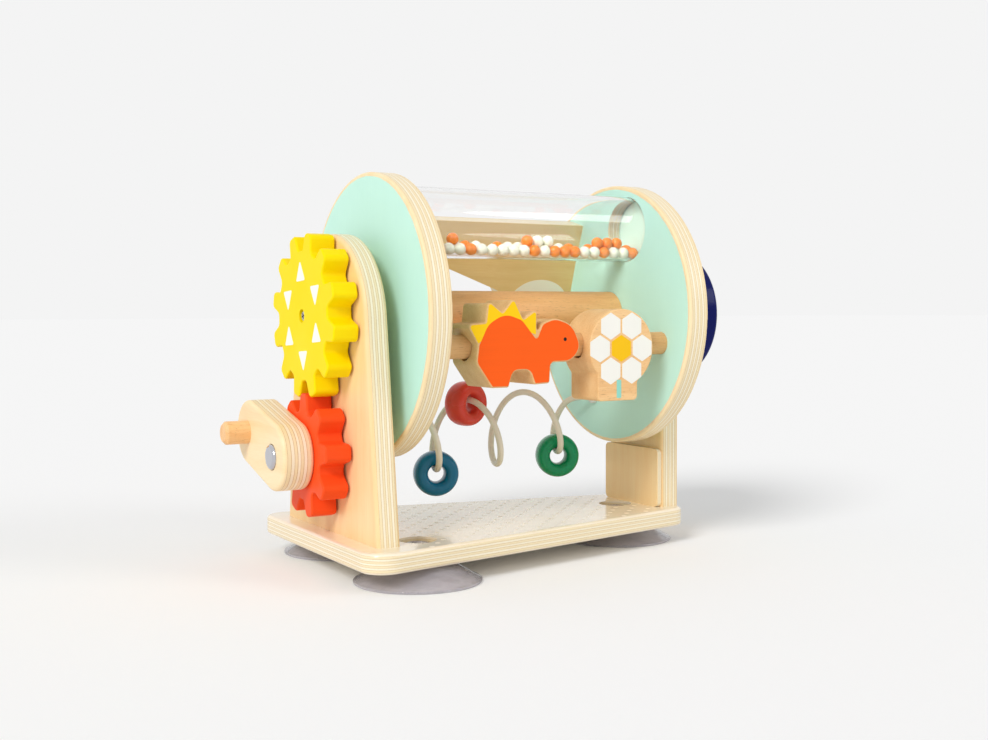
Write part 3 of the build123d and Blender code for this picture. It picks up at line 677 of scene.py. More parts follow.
@dataclass(frozen=True)
class Plywood:
    """Birch plywood whose layers follow the depth from one face, in solid coordinates."""

    name: str
    normal: tuple[float, float, float]
    start_mm: float
    thick_mm: float
    grain: Grain = Grain.ALONG_Z
    seed: float = 0.0
    light: str = "FCE4B8"
    dark: str = "F4D39C"
    coat: Coat | None = None
    dots_span_mm: tuple[float, float] | None = None
    dot_pitch_mm: float = 13.0
    dot_radius_mm: float = 1.4
    dot_colour: str = "FBF6EA"
    dot_show: float = 0.4
    lacquer: float = 0.0
    roughness: float = 0.36
    relief_mm: float = 0.025

    def material(self) -> Material:
        """Makes the material."""
        finish = Finish(self.name, self.grain, self.seed)
        graph = finish.graph
        along = graph.vector("DOT_PRODUCT", finish.place, self.normal)
        depth = graph.span(along, self.start_mm, self.start_mm + self.thick_mm)
        layers = graph.group(GROUPS.ply, {"Depth": depth, "Place": finish.place})
        veneer, streaks = finish.wood(self.light, self.dark, 0.6, 0.3)
        off_middle = graph.math("ABSOLUTE", graph.math("SUBTRACT", depth, 0.5))
        outer = graph.math("GREATER_THAN", off_middle, 0.5 - PLY_LAYERS[1] + GLUE_HALF)
        colour = graph.mix(outer, layers["Color"], veneer)
        height = graph.math("ADD", graph.math("MULTIPLY", streaks["Streak"], 0.5), layers["Height"])
        rough = finish.handled(self.roughness)
        if self.dots_span_mm:
            colour, lacquer = self.with_dots(finish, colour, off_middle)
            finish.set(Coat_Weight=lacquer, Coat_Roughness=0.1)
        if self.coat:
            colour, rough = self.with_coat(finish, colour, rough, depth, off_middle)
        finish.set(Base_Color=colour, Roughness=rough, Specular_IOR_Level=WOOD_GLOSS)
        finish.bump(height, self.relief_mm)
        return finish.material

    def with_dots(self, finish: Finish, colour: NodeSocket,
                  off_middle: NodeSocket) -> tuple:
        """Prints pale staggered dots on the board's lacquered faces.

        Args:
            finish: the material in the making.
            colour: colour of the bare board.
            off_middle: distance from the board's middle layer, as a share of its thickness.

        Returns:
            The colour with the dots, and the weight of the lacquer round them.
        """
        graph = finish.graph
        low, high = self.dots_span_mm
        dots = graph.group(GROUPS.dots, {"Place": finish.place, "Pitch": self.dot_pitch_mm,
                                         "Radius": self.dot_radius_mm})[0]
        along = graph.split(finish.place)[0]
        inside = graph.math("MULTIPLY", graph.math("GREATER_THAN", along, low),
                            graph.math("LESS_THAN", along, high))
        mask = graph.math("MULTIPLY", graph.math("MULTIPLY", dots, inside),
                          graph.math("GREATER_THAN", off_middle, PRINTED_FACE))
        lacquer = graph.math("MULTIPLY", graph.math("SUBTRACT", 1.0, mask), self.lacquer)
        shown = graph.math("MULTIPLY", mask, self.dot_show)
        return graph.mix(shown, colour, srgb(self.dot_colour)), lacquer

    def with_coat(self, finish: Finish, colour: NodeSocket, rough: NodeSocket,
                  depth: NodeSocket, off_middle: NodeSocket) -> tuple:
        """Paints a circle on both faces, and the bottom of a blind hole.

        Args:
            finish: the material in the making.
            colour: colour of the bare board.
            rough: roughness of the bare board.
            depth: depth in the board, from 0 to 1.
            off_middle: distance from the board's middle layer, as a share of its thickness.

        Returns:
            Colour and roughness with the paint.
        """
        graph, coat = finish.graph, self.coat
        skin = finish.skin(coat.colour, coat.grain_show)
        flat = graph.vector("MULTIPLY", finish.place, (0.0, 1.0, 1.0))
        ragged = graph.clouds(finish.place, 0.25, 2.0, -coat.ragged_mm, coat.ragged_mm)
        reach = graph.math("ADD", graph.vector("DISTANCE", flat, coat.centre), ragged)
        painted = graph.math("MULTIPLY", graph.math("LESS_THAN", reach, coat.radius),
                             graph.math("GREATER_THAN", off_middle, PAINTED_FACE))
        off_bottom = graph.math("ABSOLUTE", graph.math("SUBTRACT", depth, coat.pocket_depth))
        pocket_reach = graph.vector("DISTANCE", flat, coat.pocket)
        bottom = graph.math("MULTIPLY", graph.math("LESS_THAN", off_bottom, BOTTOM_LAYER),
                            graph.math("LESS_THAN", pocket_reach, coat.pocket_radius))
        colour = graph.mix(painted, colour, skin["Color"])
        colour = graph.mix(bottom, colour, srgb(coat.pocket_colour))
        return colour, graph.mix(painted, rough, skin["Roughness"])


@dataclass(frozen=True)
class Paint:
    """A coat of paint all over a piece."""

    name: str
    colour: str
    roughness: float = 0.36
    coat: float = 0.0
    grain_show: float = 0.12
    grain: Grain = Grain.ALONG_Z
    seed: float = 0.0
    gloss: float = 0.22
    relief_mm: float = 0.02

    def material(self) -> Material:
        """Makes the material."""
        finish = Finish(self.name, self.grain, self.seed)
        skin = finish.skin(self.colour, self.grain_show)
        rough = finish.graph.math("ADD", skin["Roughness"], self.roughness - sum(PAINT_ROUGH) / 2)
        finish.set(Base_Color=skin["Color"], Roughness=rough, Specular_IOR_Level=self.gloss,
                   Coat_Weight=self.coat, Coat_Roughness=0.12)
        finish.bump(skin["Height"], self.relief_mm)
        return finish.material


@dataclass(frozen=True)
class ClearAcrylic:
    """Hard clear acrylic. Light passes it, so its shadow is faint."""

    name: str
    roughness: float = 0.02
    ior: float = 1.45
    light_through: float = 0.93

    def material(self) -> Material:
        """Makes the material."""
        finish = Finish(self.name)
        graph = finish.graph
        rough = graph.clouds(finish.place, 0.12, 3.0, self.roughness * 0.5, self.roughness * 1.5)
        shadow = graph.add("ShaderNodeLightPath").outputs["Is Shadow Ray"]
        letting = graph.math("SUBTRACT", 1.0, graph.math("MULTIPLY", shadow, self.light_through))
        finish.set(Base_Color=(1.0, 1.0, 1.0, 1.0), Roughness=rough, IOR=self.ior,
                   Transmission_Weight=1.0, Alpha=letting)
        return finish.material


@dataclass(frozen=True)
class SoftVinyl:
    """Soft clear vinyl, less clear where it is looked through at a slant and in its thick middle, and
    darker there as a painted shade for the cups' dark rims.
    """

    name: str
    clear: str = "CBC5CB"
    # the dark colour below is painted shade, shown where the vinyl is seen at a slant
    slant_shade: str = "55505C"
    thin: float = 0.34
    thick: float = 0.95
    shade: float = 0.75
    waves_mm: float = 1.2

    def material(self) -> Material:
        """Makes the material."""
        finish = Finish(self.name)
        graph = finish.graph
        slant = graph.add("ShaderNodeLayerWeight", {"Blend": 0.35}).outputs["Facing"]
        flow = graph.noise(finish.place, (0.09, 0.09, 0.3), 4.0)
        slanted = graph.math("MULTIPLY", slant, graph.span(flow, 0.35, 0.65, 0.6, 1.25))
        seen = graph.span(slanted, 0.0, 0.9, self.thin, self.thick)
        shadow = graph.add("ShaderNodeLightPath").outputs["Is Shadow Ray"]
        alpha = graph.math("MULTIPLY", seen, graph.span(shadow, 0.0, 1.0, 1.0, self.shade))
        # painted shade: the colour darkens towards a dark grey-violet where the vinyl is seen at a slant,
        # standing in for the dark rims
        colour = graph.mix(graph.span(slanted, 0.35, 0.95), srgb(self.clear), srgb(self.slant_shade))
        finish.set(Base_Color=colour, Roughness=graph.spread(flow, 0.08, 0.18), IOR=1.5, Alpha=alpha,
                   Coat_Weight=0.5, Coat_Roughness=0.05)
        finish.bump(flow, self.waves_mm)
        return finish.material


@dataclass(frozen=True)
class Metal:
    """Steel, from bare to plated, with fine scratches."""

    name: str
    colour: str
    roughness: float
    scratch_mm: float = 0.004

    def material(self) -> Material:
        """Makes the material."""
        finish = Finish(self.name)
        finish.set(Base_Color=srgb(self.colour), Roughness=finish.handled(self.roughness), Metallic=1.0)
        finish.bump(finish.graph.noise(finish.place, (0.6, 5.0, 5.0), 2.0), self.scratch_mm)
        return finish.material


def dress(finish: Beech | Plywood | Paint | Metal, *nodes: str) -> None:
    """Makes a finish and gives it to CAD nodes."""
    material = finish.material()
    for node in nodes:
        slots = frame["nodes"][node].material_slots
        if not slots:
            frame["nodes"][node].data.materials.append(material)
        for slot in slots:
            slot.material = material
        LOG.info("%s: dressed in %s", node, material.name)


def board(name: str, node: str, axis: int, grain: Grain, seed: float, **looks: object) -> Plywood:
    """Plywood for a board that lies square to X, Y or Z.

    Args:
        name: name of the material.
        node: CAD node, whose box gives the layers' start and thickness.
        axis: number of the axis that the layers are stacked along.
        grain: axis of the grain.
        seed: shift of the grain, in millimetres.
        looks: other values of the finish.

    Returns:
        The finish.
    """
    low, high = (float(corner[axis] / MM) for corner in corners_of(node))
    normal = tuple(int(n == axis) for n in range(3))
    return Plywood(name, normal, low, high - low, grain, seed, **looks)


# ---------------------------------------------------------------- the stand
@dataclass
class Stand:
    """Base plate, uprights, their fixings and the suction cups."""

    cup_radius: float = 31.5 * MM
    cup_rim: float = 2.2 * MM
    cup_lip: float = 1.4 * MM
    cup_hollow: float = 4.8 * MM
    waist_radius: float = 10.5 * MM
    neck_radius: float = 5.0 * MM
    head_radius: float = 8.4 * MM
    head_height: float = 4.2 * MM
    head_side: float = 1.2 * MM
    head_dimple: float = 1.1 * MM
    dimple_width: float = 0.36
    mouth_step: float = 0.4 * MM
    bell_power: float = 1.15
    head_power: float = 0.8
    base_lift: float = 10.0 * MM
    seat: float = 5.0 * MM
    dots_from_mm: float = -76.0
    dots_to_mm: float = 92.0

    def build(self) -> None:
        """Dresses the boards and fixings, and makes the cups."""
        dress(board("base_ply", "base_plate", 2, Grain.ALONG_X, 31.0, light="FDF1DA", dark="F5E4C4",
                    lacquer=0.9, dots_span_mm=(self.dots_from_mm, self.dots_to_mm)), "base_plate")
        for node, seed in (("left_upright", 57.0), ("right_upright", 114.0), ("upright_spacer", 171.0)):
            dress(board(f"{node}_ply", node, 0, Grain.ALONG_Z, seed, light="FEE1AE", dark="F6CE92"), node)
        dress(Metal("screw_steel", "9A9A9C", 0.34), "upright_screws")
        dress(Metal("pin_steel", "A2A2A4", 0.30), "crank_axle")
        dress(Metal("cap_plating", "C6C6CC", 0.12), "crank_cap")
        self.cups()

    def cup_places(self) -> list[np.ndarray]:
        """The cups' centres on the floor, from the box of their CAD node."""
        low, high = corners_of("suction_cups")
        inset = self.cup_radius
        return [np.array((x, y, 0.0)) for x, y in (
            (low[0] + inset, low[1] + inset), (low[0] + inset, high[1] - inset), (high[0] - inset, 0.0))]

    def cup_profile(self) -> np.ndarray:
        """Radius and height round the cup's wall.

        The hollow is a parabola and the lip is half a circle. The bell's height goes with a power
        of a sine from lip to waist. The mushroom head is a quarter of a blunt ellipse, with a
        bell-curve dimple in its top.
        """
        share = np.linspace(0, 1, 26)
        mouth, half_lip = self.cup_radius - self.cup_rim, 0.5 * self.cup_lip
        hollow = np.stack((mouth * share, self.cup_hollow * (1 - share ** 2)), axis=1)
        lip_turn = np.linspace(-math.pi / 2, math.pi / 2, 9)
        lip = np.stack((self.cup_radius + half_lip * (np.cos(lip_turn) - 1),
                        half_lip * (1 + np.sin(lip_turn))), axis=1)
        lip = np.vstack(((mouth + self.mouth_step, 0.0), lip))
        rise = self.base_lift - self.cup_lip
        bell = np.stack((self.cup_radius - half_lip
                         - (self.cup_radius - self.waist_radius - half_lip) * share[1:],
                         self.cup_lip + rise * np.sin(share[1:] * math.pi / 2) ** self.bell_power), axis=1)
        seat, side = self.base_lift + self.seat, self.base_lift + self.seat + self.head_side
        neck = np.array(((self.neck_radius, self.base_lift), (self.neck_radius, seat),
                         (self.head_radius, seat), (self.head_radius, side)))
        arc = np.linspace(0, 1, 14)[1:] * math.pi / 2
        head = np.stack((self.head_radius * np.cos(arc) ** self.head_power,
                         side + (self.head_height - self.head_side) * np.sin(arc)), axis=1)
        dimple_radius = self.dimple_width * self.head_radius
        head[:, 1] -= self.head_dimple * np.exp(-(head[:, 0] / dimple_radius) ** 2)
        head[-1, 0] = 0.0
        return np.vstack((hollow, lip, bell, neck, head))

    def cups(self) -> None:
        """Three turned cups of clear vinyl in the place of their CAD node."""
        surface = Surface("suction_cup_skins")
        for centre in self.cup_places():
            surface.add_grid(turned(self.cup_profile(), centre, UP, 96), loop_columns=True)
        vinyl = SoftVinyl("clear_vinyl").material()
        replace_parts(surface.piece("stand", "clear_vinyl", vinyl), "suction_cups")


# ---------------------------------------------------------------- gears and crank
@dataclass
class Drive:
    """The two gears, the crank and the knob."""

    triangles: int = 6
    first_turn: float = 3.5
    apex_radius: float = 27.5 * MM
    base_radius: float = 18.4 * MM
    base_half_turn: float = 18.5
    corner_round: float = 0.7 * MM
    recess_reach: float = 1.5 * MM
    recess_half: float = 0.38 * MM
    recess_turn: float = 20.0
    recess_lift: float = 0.03 * MM
    paint_thickness: float = 0.12 * MM

    def build(self) -> None:
        """Dresses the pieces and paints the triangles."""
        dress(Paint("yellow_paint", "FFE200", 0.42, 0.0, 0.05, gloss=0.1), "drum_gear")
        dress(Metal("gear_screw_steel", "C9C9CC", 0.18), "gear_screw")
        dress(Paint("red_paint", "FB5420", 0.40, 0.0, 0.06, gloss=0.12), "crank_gear")
        dress(board("crank_arm_ply", "crank_arm", 0, Grain.ALONG_Y, 211.0, light="FEE8BE", dark="F8D6A2"),
              "crank_arm")
        dress(Beech("peg_beech", "FFD29A", "EDB274", seed=13.0), "crank_peg")
        dress(Paint("navy_paint", "020E5C", 0.20, 0.02, 0.03, gloss=0.1), "hand_knob")
        self.gear_triangles()
        self.screw_recess_shade()

    def outer_face(self, node: str) -> PaintPlane:
        """The crank end's face of a piece that turns on the drum's axle."""
        return PaintPlane(np.array((corners_of(node)[0][0], *AXLE[1:])), -BACK, UP, -ALONG)

    def screw_recess_shade(self) -> None:
        """Painted shade of the cross recess in the gear screw's head: a thin dark plate shaped as a cross,
        three corners of an arm turned four times.
        """
        arm, half = self.recess_reach, self.recess_half
        quarter = np.array(((arm, -half), (arm, half), (half, half)))
        turn = np.radians(90 * np.arange(4) + self.recess_turn)
        spin = np.stack((np.stack((np.cos(turn), -np.sin(turn)), axis=1),
                         np.stack((np.sin(turn), np.cos(turn)), axis=1)), axis=1)
        cross = np.einsum("kij,nj->kni", spin, quarter).reshape(-1, 2)
        # painted shade: a dark plate stands where the shade inside the screw head's cross recess falls
        dark = Metal("recess_shadow", "2A2826", 0.5).material()
        self.outer_face("gear_screw").coat("screw_recess_shade", [cross], self.recess_lift, "drum", "steel", dark)

    def gear_triangles(self) -> None:
        """White triangles that point outwards, painted on the drum gear's outer face."""
        radius = np.array((self.apex_radius, self.base_radius, self.base_radius))
        outlines = []
        for number in range(self.triangles):
            turn = np.radians(self.first_turn + 360 / self.triangles * number
                              + np.array((0.0, self.base_half_turn, -self.base_half_turn)))
            corners = np.stack((-radius * np.sin(turn), radius * np.cos(turn)), axis=1)
            outlines.append(rounded_outline(corners, np.full(3, self.corner_round)))
        white = Paint("triangle_white", "FFFCF2", 0.4, 0.0, 0.03).material()
        self.outer_face("drum_gear").coat("gear_triangles", outlines, self.paint_thickness, "drum",
                                          "yellow_paint", white)


# ---------------------------------------------------------------- the drum
@dataclass
class Drum:
    """Discs, beam, axles and back panel."""

    bare_ring_mm: float = 2.1
    pocket_mm: float = 8.0
    pocket_spare_mm: float = 0.3
    mint: str = "C8F5E6"
    pocket_mint: str = "D8F5E4"
    oval_x: float = 48.2 * MM
    oval_up: float = -8.7 * MM
    oval_half: float = 21.0 * MM
    oval_high: float = 16.5 * MM
    paint_thickness: float = 0.12 * MM

    def build(self) -> None:
        """Dresses the drum's boards and dowels."""
        for node, seed in (("left_disc", 5.0), ("right_disc", 91.0)):
            dress(self.disc_finish(node, seed), node)
        dress(Beech("beam_beech", "FAC688", "E6AA68", seed=47.0), "center_beam")
        dress(Beech("axle_beech", seed=77.0), "left_axle", "right_axle", "left_spacer", "right_spacer",
              "panel_pins")
        self.panel()

    def disc_finish(self, node: str, seed: float) -> Plywood:
        """Mint faces inside a bare ring, and a paler bottom in the tube's pocket.

        Args:
            node: the disc's CAD node.
            seed: shift of its grain.

        Returns:
            The finish.
        """
        low, high = corners_of(node)
        tube_low, tube_high = corners_of("bead_tube")
        thick = float((high[0] - low[0]) / MM)
        pocket_at = self.pocket_mm if low[0] > AXLE[0] else thick - self.pocket_mm
        axle, tube = AXLE / MM, middle_of("bead_tube") / MM
        coat = Coat(self.mint, (0.0, float(axle[1]), float(axle[2])),
                    float((high[1] - low[1]) / 2 / MM) - self.bare_ring_mm,
                    (0.0, float(tube[1]), float(tube[2])),
                    float((tube_high[1] - tube_low[1]) / 2 / MM) + self.pocket_spare_mm,
                    self.pocket_mint, pocket_at / thick)
        return board(f"{node}_ply", node, 0, Grain.ALONG_Z, seed, light="FBE7BE", dark="F4D7A4", coat=coat)

    def panel(self) -> None:
        """The back panel's plywood, and a cream oval on its lobe, facing the axle."""
        tube_way = unit((middle_of("bead_tube") - AXLE)[1:])
        outwards = np.array((0.0, tube_way[1], -tube_way[0]))
        up = np.array((0.0, -outwards[2], outwards[1]))
        mesh = frame["nodes"]["back_panel"].data
        points = np.empty(len(mesh.vertices) * 3, np.float32)
        mesh.vertices.foreach_get("co", points)
        depth = points.reshape(-1, 3) @ outwards
        near, far = float(depth.min()), float(depth.max())
        dress(Plywood("back_panel_ply", tuple(map(float, outwards)), near / MM, (far - near) / MM,
                      Grain.ALONG_X, 133.0, light="F2D496", dark="E4BE7C"), "back_panel")
        origin = AXLE + outwards * (near - float(AXLE @ outwards)) + ALONG * self.oval_x + up * self.oval_up
        cosine, sine = circle(72)
        oval = np.stack((self.oval_half * cosine, self.oval_high * sine), axis=1)
        cream = Paint("panel_cream", "FBF6E4", 0.42, 0.0, 0.04).material()
        PaintPlane(origin, ALONG, up, -outwards).coat("panel_oval", [oval], self.paint_thickness, "drum",
                                                      "plywood", cream)


# ---------------------------------------------------------------- tube and balls
@dataclass
class BallTube:
    """The clear tube and the loose balls in it."""

    wall: float = 1.5 * MM
    soft: float = 0.3 * MM
    ball_radius: float = 3.2 * MM
    ball_gap: float = 0.3 * MM
    ball_apart: float = 0.07 * MM
    lowest: str = "cocooccocccccocoooccocco"
    behind: str = "co-cc-coc-occ-ccco-oo-co"
    on_top: str = "-oc--o------occ----ooo-"

    def build(self) -> None:
        """Makes the tube and the balls of both colours."""
        dress(Paint("ball_orange_cad", "FF8420"), "tube_balls_orange")
        dress(Paint("ball_cream_cad", "F0F2D8"), "tube_balls_cream")
        low, high = corners_of("bead_tube")
        centre = middle_of("bead_tube")
        radius, half = (high[1] - low[1]) / 2, (high[0] - low[0]) / 2
        self.tube(centre, radius, half)
        for letter, node, slot, colour in (("o", "tube_balls_orange", "orange_balls", "FF8A24"),
                                           ("c", "tube_balls_cream", "cream_balls", "FAFCE8")):
            gloss = Paint(f"{slot}_gloss", colour, 0.22, 0.15, 0.0, seed=11.0, gloss=0.4).material()
            surface = Surface(f"{slot}_loose")
            for place in self.places(letter, centre, radius, half):
                surface.add_grid(self.ball(place), loop_columns=True)
            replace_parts(surface.piece("balls", slot, gloss, crease=180.0), node)

    def tube(self, centre: np.ndarray, radius: float, half: float) -> None:
        """The tube's wall, a thin ring carried along X with softened ends.

        Args:
            centre: middle of the tube.
            radius: its outer radius.
            half: half its length.
        """
        soft, inner = self.soft, radius - self.wall
        end = np.array(((radius, half - soft), (radius - soft, half), (inner + soft, half),
                        (inner, half - soft)))
        profile = np.vstack((end[::-1] * (1, -1), (radius, 0.0), end, (inner, 0.0)))
        surface = Surface("clear_tube_wall")
        surface.add_grid(turned(profile, centre, ALONG, 144), loop_rows=True, loop_columns=True)
        acrylic = ClearAcrylic("clear_acrylic").material()
        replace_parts(surface.piece("drum", "clear_acrylic", acrylic, crease=30.0), "bead_tube")

    def places(self, letter: str, centre: np.ndarray, radius: float, half: float) -> np.ndarray:
        """Centres of the balls of one colour: two rows on the tube's floor and some on top.

        Args:
            letter: o for orange or c for cream.
            centre: middle of the tube.
            radius: the tube's outer radius.
            half: half the tube's length.

        Returns:
            The centres, shape (n, 3).
        """
        step = 2 * self.ball_radius + self.ball_apart
        count = int(2 * (half - self.ball_radius - self.ball_gap) / step) + 1
        deep = radius - self.wall - self.ball_radius - self.ball_gap
        lean = math.asin(step / 2 / deep)
        high = deep * math.cos(lean) - step / math.sqrt(2)
        found = []
        for pattern, angle, shift, reach in ((self.lowest, 0.0, 0.0, deep),
                                             (self.behind, 2 * lean, 0.0, deep),
                                             (self.on_top, lean, 0.5, high)):
            letters = np.array(list(pattern))
            number = np.flatnonzero(letters == letter)
            x = (number + shift - (count - 1) / 2) * step
            row = np.stack((x, np.full(len(x), reach * math.sin(angle)),
                            np.full(len(x), -reach * math.cos(angle))), axis=1)
            found.append(row + centre)
        return np.vstack(found)

    def ball(self, place: np.ndarray) -> np.ndarray:
        """A ball as a half circle of latitudes turned about Z."""
        lift = np.linspace(-math.pi / 2, math.pi / 2, 17)
        profile = self.ball_radius * np.stack((np.cos(lift), np.sin(lift)), axis=1)
        profile[[0, -1], 0] = 0.0
        return turned(profile, place, UP, 28)


# ---------------------------------------------------------------- figures on the rod
@dataclass
class Figures:
    """The rod, and the dinosaur and flower blocks with their paint."""

    bare_edge: float = 0.7 * MM
    thin: float = 0.10 * MM
    thick: float = 0.16 * MM
    dinosaur_x: float = -30.0 * MM
    eye: tuple[float, float] = (30.4 * MM, 3.2 * MM)
    eye_radius: float = 1.0 * MM
    eye_lift: float = 0.05 * MM
    flower_x: float = 35.1 * MM
    flower_up: float = -2.0 * MM
    hexagon: float = 7.0 * MM
    petal_reach: float = 13.3 * MM
    petal_round: float = 0.5 * MM
    stem: tuple[float, float, float, float] = (32.2 * MM, 35.0 * MM, -27.6 * MM, -18.2 * MM)
    stem_round: float = 0.4 * MM
    paints: dict[str, Material] = field(default_factory=dict)

    def build(self) -> None:
        """Dresses the wood and paints both faces of both blocks."""
        dress(Beech("rod_beech", "ECBC84", "D69F64", seed=3.0), "figure_rod")
        dress(Beech("dinosaur_beech", "EEC68E", "D8A66C", seed=19.0), "dinosaur_block")
        dress(Beech("flower_beech", "FAD29A", "E8B478", seed=67.0, roughness=0.46), "flower_block")
        self.paints = {
            "body": Paint("dinosaur_orange", "FF5F04", 0.38, 0.0, 0.30, Grain.ALONG_X, 7.0).material(),
            "spikes": Paint("spike_yellow", "FFCE00", 0.38, 0.0, 0.12, Grain.ALONG_X, 9.0).material(),
            "eye": Paint("eye_black", "15110F", 0.3, 0.1).material(),
            "petals": Paint("petal_white", "F6F4EC", 0.42, 0.0, 0.08).material(),
            "middle": Paint("flower_yellow", "FAC404", 0.38, 0.0, 0.12).material(),
            "stem": Paint("stem_mint", "94D8C8", 0.4, 0.0, 0.1).material(),
        }
        for side in ("front", "back"):
            self.dinosaur(side)
            self.flower(side)

    def face(self, node: str, side: str) -> PaintPlane:
        """A block's front or back face, with its origin over the drum's middle at the rod's height.

        Args:
            node: the block's CAD node.
            side: front or back.

        Returns:
            The plane; its outlines keep their X on both sides.
        """
        low, high = corners_of(node)
        front = side == "front"
        origin = np.array((AXLE[0], low[1] if front else high[1], middle_of("figure_rod")[2]))
        return PaintPlane(origin, ALONG, UP, -BACK if front else BACK)

    def paint(self, block: str, side: str, label: str, outlines: list[np.ndarray],
              thickness: float) -> None:
        """Paints outlines on one face of a block.

        Args:
            block: dinosaur or flower, which is also the body's name.
            side: front or back.
            label: what the paint shows, which is also the key of its material.
            outlines: closed outlines in the face.
            thickness: height of the paint.
        """
        plane = self.face(f"{block}_block", side)
        plane.coat(f"{block}_{label}_{side}", outlines, thickness, block, "beech", self.paints[label])

    def dinosaur(self, side: str) -> None:
        """Orange body, yellow spikes behind it, and an eye."""
        body = np.array((
            (-12.0, -20.1, 1.5), (-2.5, -20.1, 1.0), (0.2, -11.9, 4.0), (9.6, -11.9, 4.0),
            (12.4, -19.1, 1.0), (21.4, -18.7, 1.5), (22.0, -8.3, 2.5), (34.6, -8.1, 9.0),
            (40.4, -0.7, 7.0), (35.0, 10.7, 11.0), (24.4, 14.1, 10.0), (17.0, 11.3, 4.0), (13.6, 4.0, 0.6),
            (5.6, 13.4, 7.0), (-4.6, 17.0, 12.0), (-14.6, 11.4, 11.0), (-19.6, 1.1, 2.0),
            (-20.8, -7.7, 5.0)))
        spikes = np.array((
            (13.8, 4.7, 1.0), (14.0, 18.7, 1.6), (6.0, 13.5, 0.8), (0.6, 24.2, 1.8),
            (-5.8, 16.7, 0.8), (-14.0, 22.9, 1.8), (-15.4, 11.9, 0.8), (-25.6, 11.1, 1.8),
            (-19.8, 0.8, 0.6), (-12.0, 6.0, 1.0), (-3.0, 10.0, 1.0), (5.0, 8.0, 1.0)))
        shift = np.array((self.dinosaur_x, 0.0))
        for shape, label, height in ((spikes, "spikes", self.thin), (body, "body", self.thick)):
            corners, radii = drawn_in(shape[:, :2] * MM, shape[:, 2] * MM, self.bare_edge)
            self.paint("dinosaur", side, label, [rounded_outline(corners, radii) + shift], height)
        eye = self.eye_radius * np.stack(circle(24), axis=1) + np.array(self.eye) + shift
        self.paint("dinosaur", side, "eye", [eye], self.thick + self.eye_lift)

    def flower(self, side: str) -> None:
        """Six white hexagons round a yellow one, and a mint stem."""
        centre = np.array((self.flower_x, self.flower_up))
        turn = np.radians(90 + 60 * np.arange(6))
        corners = self.hexagon * np.stack((np.cos(turn), np.sin(turn)), axis=1)
        hexagon = rounded_outline(corners, np.full(6, self.petal_round), 4)
        way = np.radians(60 * np.arange(6))
        petals = [hexagon + centre + self.petal_reach * np.array((math.cos(a), math.sin(a))) for a in way]
        left, right, low, high = self.stem
        stem = rounded_outline(np.array(((left, low), (right, low), (right, high), (left, high))),
                               np.full(4, self.stem_round), 4)
        for label, outlines in (("petals", petals), ("middle", [hexagon + centre]), ("stem", [stem])):
            self.paint("flower", side, label, outlines, self.thin)


